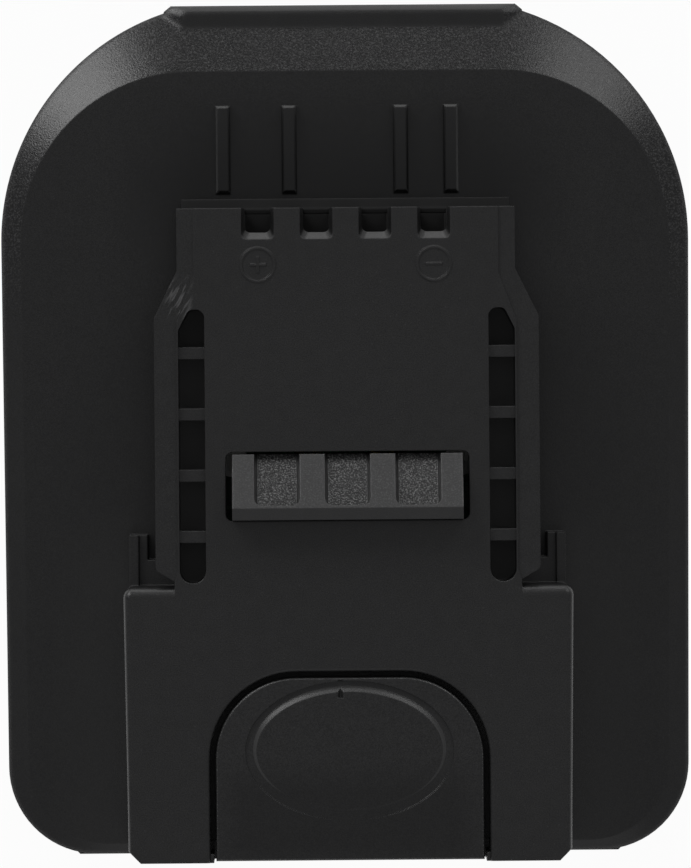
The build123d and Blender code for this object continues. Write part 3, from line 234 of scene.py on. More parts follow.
def use_group(tree, group, **sockets):
    """Places a group in a tree. Underscores in a socket's name stand for spaces."""
    named = {key.replace("_", " "): value for key, value in sockets.items()}
    return place(tree, "ShaderNodeGroup", named, node_tree=group).outputs


# %% [markdown]
# ### Small steps that every effect takes
# Each effect starts from where a point is on its piece. Noise turns that place into a random value, a ramp
# stretches part of a value's range to the whole of 0 to 1, and vector sums measure distance and direction.

# %% Texture helpers
def object_point(tree):
    """The place of the shaded point on its own piece, so that a pattern moves with the piece."""
    return place(tree, "ShaderNodeTexCoord").outputs["Object"]


def face_normal(tree):
    """The direction that the surface faces, before any bump."""
    return place(tree, "ShaderNodeNewGeometry").outputs["Normal"]


def axis(tree, vector, name):
    """One coordinate of a vector."""
    return place(tree, "ShaderNodeSeparateXYZ", {0: vector}).outputs[name]


def vector_math(tree, operation, first, second=(0, 0, 0)):
    """An operation on two vectors. A distance or a dot product is a value, the rest are vectors."""
    made = place(tree, "ShaderNodeVectorMath", {0: first, 1: second}, operation=operation)
    return made.outputs["Value" if operation in ("DOT_PRODUCT", "DISTANCE") else "Vector"]


def noise(tree, where, scale, detail, roughness=0.5, distortion=0.0):
    """Soft noise from 0 to 1. A larger scale makes it smaller, and detail adds finer layers."""
    knobs = {"Vector": where, "Scale": scale, "Detail": detail}
    knobs.update({"Roughness": roughness, "Distortion": distortion})
    return place(tree, "ShaderNodeTexNoise", knobs).outputs[0]


def ramp(tree, value, low, high):
    """0 where the value is low, 1 where it is high, even between them. Low may be the larger number."""
    knobs = {"Value": value, "From Min": low, "From Max": high}
    return place(tree, "ShaderNodeMapRange", knobs).outputs[0]


# %% [markdown]
# ### Grain of a moulded face
# A mould is etched or sparked, and the plastic copies its small pits. A fine noise gives the pits, and a
# second noise, several times wider, makes them shallower and deeper in places, as on a real moulding.

# %% Grain group
WIDE_GRAIN = 12.0
SPECKLE_RANGE = (0.34, 0.66)


def grain_group():
    """Height = fine noise * (1 - Patches + Patches * wide noise). Speckle is the fine noise at full
    contrast, and Patch is the wide noise."""
    group, knobs, ends = new_group(
        "moulded_grain",
        [("Size", "NodeSocketFloat", 0.0002), ("Patches", "NodeSocketFloat", 0.3)],
        [("Height", "NodeSocketFloat"), ("Speckle", "NodeSocketFloat"), ("Patch", "NodeSocketFloat")],
    )
    where = object_point(group)
    scale = calc(group, "DIVIDE", 1.0, knobs["Size"])
    fine = noise(group, where, scale, 2.0, roughness=0.6)
    wide = noise(group, where, calc(group, "DIVIDE", scale, WIDE_GRAIN), 2.0)
    kept = calc(group, "SUBTRACT", 1.0, knobs["Patches"])
    depth = calc(group, "ADD", kept, calc(group, "MULTIPLY", knobs["Patches"], wide))
    group.links.new(calc(group, "MULTIPLY", fine, depth), ends["Height"])
    group.links.new(ramp(group, fine, *SPECKLE_RANGE), ends["Speckle"])
    group.links.new(wide, ends["Patch"])
    return group


GRAIN = grain_group()

# %% [markdown]
# ### Edges
# No moulded edge is a perfect corner. The edge group works out the normal of a corner rounded by a small
# radius, which catches a thin line of light, and a mask that is 1 on the edge, for polish and wear there.

# %% Edge group
BEVEL_SAMPLES = 4
EDGE_BREAKS = 900.0


def edge_group():
    """Mask = (1 - rounded normal . face normal) * Sharpness, broken up by noise and clamped to 0..1."""
    group, knobs, ends = new_group(
        "rounded_edge",
        [("Radius", "NodeSocketFloat", 0.0003), ("Sharpness", "NodeSocketFloat", 6.0)],
        [("Normal", "NodeSocketVector"), ("Mask", "NodeSocketFloat")],
    )
    rounded = place(group, "ShaderNodeBevel", {"Radius": knobs["Radius"]}, samples=BEVEL_SAMPLES).outputs[0]
    turned = calc(group, "SUBTRACT", 1.0, vector_math(group, "DOT_PRODUCT", rounded, face_normal(group)))
    breaks = noise(group, object_point(group), EDGE_BREAKS, 3.0)
    paled_mask = calc(group, "MULTIPLY", calc(group, "MULTIPLY", turned, knobs["Sharpness"]), breaks)
    group.links.new(rounded, ends["Normal"])
    group.links.new(calc(group, "MINIMUM", paled_mask, 1.0, clamp=True), ends["Mask"])
    return group


EDGES = edge_group()

# %% [markdown]
# ### Handling marks
# Fingers and dust leave patches that are a little glossier or paler. They are wide and faint, and they
# change roughness more than colour.

# %% Marks group
SMUDGE_RANGE = (0.42, 0.68)
SPECK_RANGE = (0.09, 0.03)


def marks_group():
    """Smudge = a soft threshold of wide noise; Dust = small sparse specks of a cell pattern."""
    group, knobs, ends = new_group(
        "handling_marks",
        [("Spread", "NodeSocketFloat", 0.02), ("Dust Size", "NodeSocketFloat", 0.0012)],
        [("Smudge", "NodeSocketFloat"), ("Dust", "NodeSocketFloat")],
    )
    where = object_point(group)
    wide = noise(group, where, calc(group, "DIVIDE", 1.0, knobs["Spread"]), 4.0, distortion=0.4)
    dust_scale = calc(group, "DIVIDE", 1.0, knobs["Dust Size"])
    cells = place(group, "ShaderNodeTexVoronoi", {"Vector": where, "Scale": dust_scale}).outputs["Distance"]
    group.links.new(ramp(group, wide, *SMUDGE_RANGE), ends["Smudge"])
    group.links.new(ramp(group, cells, *SPECK_RANGE), ends["Dust"])
    return group


MARKS = marks_group()

# %% [markdown]
# ### A soft-edged region
# The same moulding is etched in one place and smooth in another. A region mask says where: it is 1
# inside a box and fades to 0 over a short distance at its walls.

# %% Region group
def region_group():
    """Mask = product over X, Y and Z of clamp(1 + (Half - |p - Centre|) / Fade)."""
    group, knobs, ends = new_group(
        "soft_region",
        [
            ("Centre", "NodeSocketVector", (0, 0, 0)),
            ("Half", "NodeSocketVector", (0.01, 0.01, 0.01)),
            ("Fade", "NodeSocketFloat", 0.001),
        ],
        [("Mask", "NodeSocketFloat")],
    )
    away = vector_math(group, "SUBTRACT", object_point(group), knobs["Centre"])
    room = vector_math(group, "SUBTRACT", knobs["Half"], vector_math(group, "ABSOLUTE", away))
    mask = 1.0
    for value in place(group, "ShaderNodeSeparateXYZ", {0: room}).outputs:
        inside = calc(group, "ADD", calc(group, "DIVIDE", value, knobs["Fade"]), 1.0, clamp=True)
        mask = calc(group, "MULTIPLY", inside, mask)
    group.links.new(mask, ends["Mask"])
    return group


REGION = region_group()

# %% [markdown]
# ### Slopes and heights
# A mould's grain is often deeper on slopes than on flat faces. The slope mask is 1 on faces that tilt a
# known angle away from straight up, and the height mask is 1 above a level and fades out below it.

# %% Slope and height groups
RAMP_COSINE = 0.886


def slope_group():
    """Mask = clamp((Width - |normal z - Cosine|) / Fade)."""
    group, knobs, ends = new_group(
        "slope_mask",
        [
            ("Cosine", "NodeSocketFloat", RAMP_COSINE),
            ("Width", "NodeSocketFloat", 0.07),
            ("Fade", "NodeSocketFloat", 0.02),
        ],
        [("Mask", "NodeSocketFloat")],
    )
    upward = axis(group, face_normal(group), "Z")
    away = calc(group, "ABSOLUTE", calc(group, "SUBTRACT", upward, knobs["Cosine"]))
    inside = calc(group, "DIVIDE", calc(group, "SUBTRACT", knobs["Width"], away), knobs["Fade"])
    group.links.new(calc(group, "MINIMUM", inside, 1.0, clamp=True), ends["Mask"])
    return group


def height_group():
    """Mask = clamp((z - Level) / Fade)."""
    group, knobs, ends = new_group(
        "height_mask",
        [("Level", "NodeSocketFloat", 0.0), ("Fade", "NodeSocketFloat", 0.002)],
        [("Mask", "NodeSocketFloat")],
    )
    up = axis(group, object_point(group), "Z")
    risen = calc(group, "DIVIDE", calc(group, "SUBTRACT", up, knobs["Level"]), knobs["Fade"])
    group.links.new(calc(group, "MINIMUM", risen, 1.0, clamp=True), ends["Mask"])
    return group


SLOPES = slope_group()
HEIGHTS = height_group()

# %% [markdown]
# ### Scratches
# A rub leaves fine parallel lines. Noise that is stretched a long way in one direction gives lines, and a
# threshold keeps only its highest ridges.

# %% Scratch group
RIDGE_RANGE = (0.52, 0.66)


def scratch_group():
    """Mask = ridges of noise, squeezed across the lines by Squeeze and turned about Z by Angle."""
    group, knobs, ends = new_group(
        "fine_scratches",
        [
            ("Scale", "NodeSocketFloat", 500.0),
            ("Squeeze", "NodeSocketFloat", 12.0),
            ("Angle", "NodeSocketFloat", 0.5),
        ],
        [("Mask", "NodeSocketFloat")],
    )
    turning = {"Vector": object_point(group), "Angle": knobs["Angle"]}
    turned = place(group, "ShaderNodeVectorRotate", turning, rotation_type="Z_AXIS").outputs[0]
    stretching = {"X": knobs["Squeeze"], "Y": 1.0, "Z": knobs["Squeeze"]}
    stretch = place(group, "ShaderNodeCombineXYZ", stretching).outputs[0]
    lines = noise(group, vector_math(group, "MULTIPLY", turned, stretch), knobs["Scale"], 3.0)
    group.links.new(ramp(group, lines, *RIDGE_RANGE), ends["Mask"])
    return group


SCRATCHES = scratch_group()

# %% [markdown]
# ## Black moulded plastic
# The shells and the latch are glass-filled nylon, dyed black right through. A maker would paint nothing:
# the finish is the mould's. So the plastic's own colour hardly changes, and grain, roughness and edges do
# the work.
# A coarse grain lies on the slopes: the wide chamfer and the hood on the shell, and the pockets on the
# latch's hook. Narrow recesses are rougher and darkened by painted shade, and painted fill light and a
# painted highlight pale a few places.

# %% Plastic helpers
def mix_colour(tree, share, low, high):
    """A colour between two others."""
    knobs = {"Factor": share, "A": low, "B": high}
    return place(tree, "ShaderNodeMix", knobs, data_type="RGBA").outputs["Result"]


def bumped(tree, height, **normal):
    """The normal of a surface that is raised by a height in metres. It starts from the surface's own
    normal, or from the one that is given as Normal."""
    return place(tree, "ShaderNodeBump", {"Height": height, "Distance": 1.0, **normal}).outputs[0]


def surface(tree, output, **sockets):
    """The material's own shader, linked to its output."""
    named = {key.replace("_", " "): value for key, value in sockets.items()}
    shader = place(tree, "ShaderNodeBsdfPrincipled", named)
    tree.links.new(shader.outputs[0], output.inputs["Surface"])


def level_band(tree, low, high, fade):
    """1 between two heights and 0 outside them."""
    above = use_group(tree, HEIGHTS, Level=low, Fade=fade)["Mask"]
    over = use_group(tree, HEIGHTS, Level=high, Fade=fade)["Mask"]
    return calc(tree, "SUBTRACT", above, over, clamp=True)


def region(tree, centre, half, fade):
    """1 inside a box and 0 further than fade from it, all in millimetres."""
    sized = {"Centre": [v * MM for v in centre], "Half": [v * MM for v in half], "Fade": fade * MM}
    return use_group(tree, REGION, **sized)["Mask"]


# %% [markdown]
# ### Places on the shells
# The slots and the lip of the nose are rougher, and painted shade darkens them. Painted fill light pales the
# floors of the coring slots and the plate round the block, and a painted shadow darkens the plate in front
# of the nose. A rub at the left corner of the rail shows as fine grey strokes.

# %% Places on the shells
# Painted fill light: this grey pales the slot floors and the plate round the block.
PAINTED_FILL_GREY = (0.060, 0.060, 0.059, 1)
# Painted shade: this black darkens recesses, the plate in front of the nose, the button's heel end and its
# deck.
PAINTED_SHADE_BLACK = (0.0008, 0.0008, 0.0008, 1)
RUBBED_GREY = (0.075, 0.075, 0.076, 1)
# How strongly painted fill light pales the plate round the block.
PAINTED_FILL_SHARE = 0.19
RUB_DEPTH = 0.03 * MM
# Each box is its centre, half its size and its fade, in millimetres.
HEAD_END = ((0, 45, 30), (60, 20, 20), 14)
TERMINAL_SOCKETS = ((0, 23.4, 32), (12, 1.6, 8.6), 0.4)
NOSE_LIP = ((0, 26.3, 36.9), (20, 0.8, 1.2), 0.3)
CORING_SLOTS = [((x, -1, 38.6), (1.4, 16.2, 2.1), 0.2) for x in (-17.7, 17.7)]
SLOT_FLOORS = ((0, -1, 36.8), (25, 16.6, 0.2), 0.2)
# A painted shadow on the plate in front of the nose.
NOSE_SHADOW_PLATE = ((0, 27.5, 23.5), (17, 1.5, 2), 11)
PLATE_BY_BLOCK = ((0, -34, 23.5), (26.2, 16.5, 1.5), 9)
RAIL_CORNER = ((-19.1, 15.1, 41.5), (0.9, 1.8, 2), 0.9)


def head_slopes(tree):
    """The chamfer and the hood, at the head end."""
    sloped = use_group(tree, SLOPES, Cosine=RAMP_COSINE, Width=0.06)["Mask"]
    return calc(tree, "MULTIPLY", sloped, region(tree, *HEAD_END))


def shell_places(tree, colour, rough, height):
    """Changes colour, roughness and height: painted shade in recesses, painted fill light on slot floors and
    round the block, a painted shadow before the nose, and a rub.
    """
    sockets = region(tree, *TERMINAL_SOCKETS)
    shaded_recess = sockets
    for box in (NOSE_LIP, *CORING_SLOTS):
        shaded_recess = calc(tree, "MAXIMUM", shaded_recess, region(tree, *box))
    nose_shadow = region(tree, *NOSE_SHADOW_PLATE)
    painted_fill = calc(tree, "MULTIPLY", region(tree, *PLATE_BY_BLOCK), PAINTED_FILL_SHARE)
    painted_fill = calc(tree, "MAXIMUM", region(tree, *SLOT_FLOORS), painted_fill)
    lines = use_group(tree, SCRATCHES, Scale=420.0, Squeeze=6.0, Angle=0.52)["Mask"]
    rubbed = calc(tree, "MULTIPLY", region(tree, *RAIL_CORNER), lines)
    # Painted shade in the recesses and the painted shadow in front of the nose, then painted fill light.
    colour = mix_colour(tree, calc(tree, "MAXIMUM", shaded_recess, nose_shadow), colour, PAINTED_SHADE_BLACK)
    colour = mix_colour(tree, painted_fill, colour, PAINTED_FILL_GREY)
    colour = mix_colour(tree, rubbed, colour, RUBBED_GREY)
    rough = add_scaled(tree, rough, shaded_recess, 0.3)
    rough = add_scaled(tree, rough, sockets, 0.5, clamp=True)
    rough = add_scaled(tree, rough, nose_shadow, -0.13)
    rough = add_scaled(tree, rough, rubbed, 0.2)
    return colour, rough, add_scaled(tree, height, rubbed, -RUB_DEPTH)


print("coring slots at x, mm", [centre[0] for centre, half, fade in CORING_SLOTS])

# %% [markdown]
# ### Places on the latch
# The tool slides over the ramp of the hook each time it is fitted. The ramp and the crest are polished
# and a little paler for it, and the pockets keep their coarse grain. A painted highlight pales the pad's
# rim, and painted shade darkens the button's heel end and the rougher deck deep in the gap round it.

# %% Places on the latch
# Wear on the ramp and crest, and a painted highlight on the pad's rim.
WEAR_AND_HIGHLIGHT_GREY = (0.074, 0.074, 0.074, 1)
PAD_RIM_COSINE = 0.814
FACE_Z = 42.0 * MM
DECK_TOP_Z = 40.0 * MM
RAMP_LOW_Z = 40.5 * MM
CREST_Z = 44.8 * MM
POCKET_DEPTHS = (-0.3 * MM, -0.6 * MM)
RAMP_GRAIN = 0.25
# The box of the painted highlight on the pad's rim.
PAD_RIM_HIGHLIGHT = ((0, -34, 41.7), (13, 6, 0.4), 2)
# The box of painted shade at the button's heel end.
BUTTON_HEEL_SHADE = ((0, -44.5, 42), (12, 3, 1), 4)


def ramp_slopes(tree):
    """1 on faces that tilt as the hook's ramp does."""
    return use_group(tree, SLOPES, Cosine=RAMP_COSINE, Width=0.05)["Mask"]


def hook_grain(tree):
    """1 on the floors of the hook's pockets, which lie deeper than the plane of the ramp, and a small
    share on the ramp itself. Depth = (point - a point of the ramp) . the ramp's normal."""
    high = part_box("release_latch")[1]
    across = (0, math.sqrt(1 - RAMP_COSINE ** 2), RAMP_COSINE)
    away = vector_math(tree, "SUBTRACT", object_point(tree), (0, high.y, FACE_Z))
    deep = ramp(tree, vector_math(tree, "DOT_PRODUCT", away, across), *POCKET_DEPTHS)
    share = calc(tree, "ADD", calc(tree, "MULTIPLY", deep, 1 - RAMP_GRAIN), RAMP_GRAIN)
    return calc(tree, "MULTIPLY", share, ramp_slopes(tree))


def latch_places(tree, colour, rough, height):
    """Changes colour and roughness: wear on the ramp and crest, a painted highlight on the pad's rim,
    and painted shade at the button's heel end and on the rougher deck."""
    above = use_group(tree, HEIGHTS, Level=RAMP_LOW_Z, Fade=0.2 * MM)["Mask"]
    worn_ramp = calc(tree, "MULTIPLY", ramp_slopes(tree), above)
    crest = use_group(tree, HEIGHTS, Level=CREST_Z, Fade=0.3 * MM)["Mask"]
    rim = use_group(tree, SLOPES, Cosine=PAD_RIM_COSINE, Width=0.05)["Mask"]
    rim = calc(tree, "MULTIPLY", rim, region(tree, *PAD_RIM_HIGHLIGHT))
    paled_mask = calc(tree, "MULTIPLY", worn_ramp, 0.75)
    paled_mask = calc(tree, "MAXIMUM", paled_mask, calc(tree, "MULTIPLY", crest, 0.18))
    # A painted highlight on the pad's rim, at half strength.
    paled_mask = calc(tree, "MAXIMUM", paled_mask, calc(tree, "MULTIPLY", rim, 0.5))
    # The deck, deep in the gap round the button: rougher, and darkened by painted shade.
    flat = use_group(tree, SLOPES, Cosine=1.0, Width=0.1)["Mask"]
    proud = use_group(tree, HEIGHTS, Level=DECK_TOP_Z, Fade=0.3 * MM)["Mask"]
    shaded_deck = calc(tree, "SUBTRACT", flat, proud, clamp=True)
    # Painted shade at the button's heel end and on the deck deep in its gap.
    heel_shade = calc(tree, "MULTIPLY", region(tree, *BUTTON_HEEL_SHADE), 0.5)
    colour = mix_colour(tree, calc(tree, "MAXIMUM", heel_shade, shaded_deck), colour, PAINTED_SHADE_BLACK)
    rough = add_scaled(tree, rough, worn_ramp, -0.06)
    rough = add_scaled(tree, rough, shaded_deck, 0.3)
    return mix_colour(tree, paled_mask, colour, WEAR_AND_HIGHLIGHT_GREY), rough, height


print("ramp tilt, degrees", round(math.degrees(math.acos(RAMP_COSINE)), 1))

# %% [markdown]
# ### The material
# One function builds both plastics. The grain is a bump and also a slight change of colour, since its
# peaks are rubbed paler than its pits. Low faces are a little darker than the rail and the block, and the
# case's rim has a wider rounding than the small edges.

# %% Plastic
BLACK = (0.0040, 0.0040, 0.0041, 1)
BLACK_PALE = (0.0292, 0.0292, 0.0293, 1)
BLACK_LOW = (0.0030, 0.0030, 0.0031, 1)
BLACK_LOW_PALE = (0.0205, 0.0205, 0.0206, 1)
GRAIN_SIZE = 0.13 * MM
GRAIN_DEPTH = 0.012 * MM
COARSE_DEPTH = 0.026 * MM
RAISED_Z = 25.5 * MM
RAISED_FADE = 4 * MM
RIM_LOW_Z = 19.0 * MM
RIM_HIGH_Z = 23.5 * MM
RIM_FADE = 0.3 * MM
EDGE_R = 0.24 * MM
RIM_EXTRA_R = 0.7 * MM
PEAK_POWER = 2.6


def black_plastic(name, coarse, coarse_size, peak_grey, places):
    """Dark moulded plastic. Coarse is a function that gives the mask of its coarse places, coarse_size
    and peak_grey are the size of the grain there and how pale its peaks are, and places is a function
    that makes the local changes."""
    material, tree, output = new_material(name)
    grain = use_group(tree, GRAIN, Size=GRAIN_SIZE, Patches=0.4)
    deep = use_group(tree, GRAIN, Size=coarse_size, Patches=0.2)
    coarse_mask = coarse(tree)
    raised = use_group(tree, HEIGHTS, Level=RAISED_Z, Fade=RAISED_FADE)["Mask"]
    rim = level_band(tree, RIM_LOW_Z, RIM_HIGH_Z, RIM_FADE)
    marks = use_group(tree, MARKS)
    edges = use_group(tree, EDGES, Radius=add_scaled(tree, EDGE_R, rim, RIM_EXTRA_R))
    deep_height = calc(tree, "MULTIPLY", deep["Height"], calc(tree, "MULTIPLY", coarse_mask, COARSE_DEPTH))
    height = add_scaled(tree, deep_height, grain["Height"], GRAIN_DEPTH)
    rough = add_scaled(tree, 0.31, marks["Smudge"], -0.03)
    rough = add_scaled(tree, rough, coarse_mask, -0.10)
    pale = calc(tree, "MULTIPLY", grain["Speckle"], 0.65)
    pale = add_scaled(tree, pale, grain["Patch"], 0.25)
    pale = add_scaled(tree, pale, edges["Mask"], 0.4)
    pale = add_scaled(tree, pale, marks["Dust"], 0.8, clamp=True)
    upper = mix_colour(tree, pale, BLACK, BLACK_PALE)
    lower = mix_colour(tree, pale, BLACK_LOW, BLACK_LOW_PALE)
    colour = mix_colour(tree, raised, lower, upper)
    colour, rough, height = places(tree, colour, rough, height)
    colour = mix_colour(tree, calc(tree, "MULTIPLY", coarse_mask, 0.7), colour, BLACK_LOW)
    peaks = calc(tree, "MULTIPLY", coarse_mask, calc(tree, "POWER", deep["Speckle"], PEAK_POWER))
    colour = mix_colour(tree, peaks, colour, (peak_grey, peak_grey, peak_grey, 1))
    normal = bumped(tree, height, Normal=edges["Normal"])
    surface(tree, output, Base_Color=colour, Roughness=rough, Normal=normal)
    return material


def dress(names, material):
    """Gives a material to whole construction nodes."""
    for name in names:
        nodes[name].data.materials.clear()
        nodes[name].data.materials.append(material)
    print(material.name, "on", len(names), "nodes")


shell_plastic = black_plastic("shell_plastic", head_slopes, 0.22 * MM, 0.053, shell_places)
latch_plastic = black_plastic("latch_plastic", hook_grain, 0.18 * MM, 0.175, latch_places)
dress(["tool_side_shell", "battery_side_shell"], shell_plastic)
dress(["release_latch"], latch_plastic)

# %% [markdown]
# ## The plastics inside
# The retainer, the contact carrier and the battery's terminal block are plain mouldings that nobody is
# meant to see. They are charcoal, with hardly any mould grain, and they show faint flow lines instead.

# %% Inner plastic
CHARCOAL = (0.030, 0.030, 0.031, 1)
CHARCOAL_PALE = (0.060, 0.060, 0.061, 1)


def inner_material(name, colour, pale_colour):
    """A plain moulding with flow lines: a wide, warped noise that changes colour and roughness a little."""
    material, tree, output = new_material(name)
    flow = noise(tree, object_point(tree), 140.0, 3.0, distortion=1.6)
    grain = use_group(tree, GRAIN, Size=0.12 * MM, Patches=0.5)
    edges = use_group(tree, EDGES, Radius=0.16 * MM)
    shade = add_scaled(tree, calc(tree, "MULTIPLY", flow, 0.5), edges["Mask"], 0.4, clamp=True)
    colours = mix_colour(tree, shade, colour, pale_colour)
    rough = add_scaled(tree, 0.34, flow, 0.16)
    normal = bumped(tree, calc(tree, "MULTIPLY", grain["Height"], 0.005 * MM), Normal=edges["Normal"])
    surface(tree, output, Base_Color=colours, Roughness=rough, Normal=normal)
    return material


inner_plastic = inner_material("inner_plastic", CHARCOAL, CHARCOAL_PALE)
dress(["latch_retainer", "terminal_carrier", "battery_terminal_block"], inner_plastic)

# %% [markdown]
# ## Metals
# Blades and contacts are tinned strip, with the fine lines of rolling along them. Screws are dark zinc
# with a thread, which is a wave along the shank in their bump. Each group of metal pieces shares one
# function and differs in colour, line direction and thread.

# %% Metals
STAIN_RANGE = (0.4, 0.75)
LINE_DEPTH = 0.0015 * MM
THREAD_SHARE = 0.14


def metal_material(name, bright, dull, roughness, squeeze, thread_pitch=0.0):
    """Metal with rolling lines. A thread pitch above 0 adds grooves on upright walls:
    height = sin(2 pi z / pitch) * pitch * THREAD_SHARE."""
    material, tree, output = new_material(name)
    where = object_point(tree)
    lines = use_group(tree, SCRATCHES, Scale=700.0, Squeeze=squeeze, Angle=0.0)["Mask"]
    dulled = ramp(tree, noise(tree, where, 260.0, 4.0), *STAIN_RANGE)
    edges = use_group(tree, EDGES, Radius=0.08 * MM)
    height = calc(tree, "MULTIPLY", lines, LINE_DEPTH)
    if thread_pitch:
        turns = calc(tree, "MULTIPLY", axis(tree, where, "Z"), 2 * math.pi / thread_pitch)
        upright = use_group(tree, SLOPES, Cosine=0.0, Width=0.3, Fade=0.1)["Mask"]
        wave = calc(tree, "MULTIPLY", calc(tree, "SINE", turns), upright)
        height = add_scaled(tree, height, wave, thread_pitch * THREAD_SHARE)
    rough = add_scaled(tree, roughness, dulled, 0.18)
    rough = add_scaled(tree, rough, lines, 0.06)
    colour = mix_colour(tree, dulled, bright, dull)
    normal = bumped(tree, height, Normal=edges["Normal"])
    surface(tree, output, Base_Color=colour, Metallic=1.0, Roughness=rough, Normal=normal)
    return material


TIN = ((0.76, 0.74, 0.69, 1), (0.55, 0.52, 0.46, 1))
DARK_ZINC = ((0.24, 0.24, 0.25, 1), (0.13, 0.13, 0.135, 1))
BRIGHT_ZINC = ((0.55, 0.55, 0.53, 1), (0.36, 0.36, 0.35, 1))
contact_metal = metal_material("contact_metal", *TIN, 0.24, 14.0)
case_screw_metal = metal_material("case_screw_metal", *DARK_ZINC, 0.32, 3.0, 1.1 * MM)
small_screw_metal = metal_material("small_screw_metal", *BRIGHT_ZINC, 0.3, 3.0, 0.7 * MM)
POLES = ("positive", "data", "sense", "negative")
dress([f"{kind}_{pole}" for kind in ("battery_blade", "tool_contact") for pole in POLES], contact_metal)
dress(["case_screws"], case_screw_metal)
dress(["board_screws", "carrier_screws", "retainer_screws", "terminal_block_screws"], small_screw_metal)

# %% [markdown]
# ## The circuit board
# Green solder mask lies over copper tracks, which show through it as paler raised lines. The cut edges of
# the board are bare glass fibre. Tracks are the thin joints of a brick pattern, kept only in the patches
# that a wide noise picks, so that they start and stop as real ones do.

# %% Board
MASK_GREEN = (0.012, 0.085, 0.034, 1)
TRACK_GREEN = (0.035, 0.19, 0.075, 1)
FIBRE = (0.42, 0.38, 0.2, 1)
TRACK_W = 0.22 * MM
TRACK_L = 6.2 * MM
TRACK_PITCH = 1.3 * MM
TRACK_PATCHES = (0.46, 0.48)
TRACK_HEIGHT = 0.04 * MM
WEAVE_HEIGHT = 0.003 * MM


def board_material():
    """Solder mask with tracks on the flat faces, and bare fibre on the edges."""
    material, tree, output = new_material("circuit_board")
    where = object_point(tree)
    bricks = {"Vector": where, "Scale": 1.0, "Mortar Size": TRACK_W, "Mortar Smooth": 0.15}
    bricks.update({"Brick Width": TRACK_L, "Row Height": TRACK_PITCH})
    plan = place(tree, "ShaderNodeTexBrick", bricks).outputs["Fac"]
    routed = ramp(tree, noise(tree, where, 190.0, 0.0), *TRACK_PATCHES)
    tracks = calc(tree, "MULTIPLY", plan, routed)
    upright = use_group(tree, SLOPES, Cosine=0.0, Width=0.5, Fade=0.1)["Mask"]
    flat = calc(tree, "SUBTRACT", 1.0, upright)
    weave = noise(tree, where, 2200.0, 2.0)
    green = mix_colour(tree, tracks, MASK_GREEN, TRACK_GREEN)
    height = add_scaled(tree, calc(tree, "MULTIPLY", tracks, TRACK_HEIGHT), weave, WEAVE_HEIGHT)
    rough = add_scaled(tree, 0.62, flat, -0.38)
    rough = add_scaled(tree, rough, weave, 0.05)
    colour = mix_colour(tree, flat, FIBRE, green)
    surface(tree, output, Base_Color=colour, Roughness=rough, Normal=bumped(tree, height))
    return material


dress(["circuit_board"], board_material())

# %% [markdown]
# ## Parts on the board
# The chip is matt black epoxy with a dimple at its first leg. The resistors are black between two tinned
# ends. The capacitor is an aluminium can in a dark sleeve with a pale stripe down its minus side.

# %% Chip
EPOXY = (0.012, 0.012, 0.013, 1)
EPOXY_PALE = (0.03, 0.03, 0.031, 1)
DIMPLE_INSET = 1.1 * MM
DIMPLE_WALL = (0.42 * MM, 0.34 * MM)
DIMPLE_DEPTH = 0.12 * MM


def chip_material():
    """Matt epoxy with a round dimple at one corner."""
    material, tree, output = new_material("chip_epoxy")
    low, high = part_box("board_chip")
    corner = (low.x + DIMPLE_INSET, high.y - DIMPLE_INSET, high.z)
    dimple = ramp(tree, vector_math(tree, "DISTANCE", object_point(tree), corner), *DIMPLE_WALL)
    grain = use_group(tree, GRAIN, Size=0.06 * MM, Patches=0.3)
    height = add_scaled(tree, calc(tree, "MULTIPLY", grain["Height"], 0.008 * MM), dimple, -DIMPLE_DEPTH)
    rough = add_scaled(tree, 0.6, dimple, -0.3)
    colour = mix_colour(tree, grain["Patch"], EPOXY, EPOXY_PALE)
    surface(tree, output, Base_Color=colour, Roughness=rough, Normal=bumped(tree, height))
    return material


dress(["board_chip"], chip_material())

# %% Resistors
GLAZE = ((0.012, 0.012, 0.013, 1), (0.028, 0.028, 0.03, 1))
SOLDER_TIN = ((0.62, 0.61, 0.58, 1), (0.8, 0.79, 0.76, 1))
BODY_HALF = 1.05 * MM
END_FADE = 0.08 * MM


def resistor_material():
    """Glazed black bodies between tinned ends: Ends = clamp((|y - middle| - BODY_HALF) / END_FADE)."""
    material, tree, output = new_material("resistor_body")
    low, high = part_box("board_resistors")
    where = object_point(tree)
    away = calc(tree, "ABSOLUTE", calc(tree, "SUBTRACT", axis(tree, where, "Y"), (low.y + high.y) / 2))
    ends = calc(tree, "DIVIDE", calc(tree, "SUBTRACT", away, BODY_HALF), END_FADE)
    ends = calc(tree, "MINIMUM", ends, 1.0, clamp=True)
    stain = noise(tree, where, 900.0, 3.0)
    colour = mix_colour(tree, ends, mix_colour(tree, stain, *GLAZE), mix_colour(tree, stain, *SOLDER_TIN))
    rough = add_scaled(tree, 0.3, stain, 0.15)
    surface(tree, output, Base_Color=colour, Metallic=ends, Roughness=rough)
    return material


dress(["board_resistors"], resistor_material())

# %% Capacitor
SLEEVE = (0.012, 0.014, 0.03, 1)
STRIPE = (0.5, 0.52, 0.55, 1)
ALUMINIUM = ((0.55, 0.56, 0.57, 1), (0.72, 0.73, 0.74, 1))
TOP_SHARE = 0.86
STRIPE_SHARE = 0.84
CROSS_SHARE = 0.6
CROSS_HALF_W = 0.18 * MM
CROSS_DEPTH = 0.1 * MM


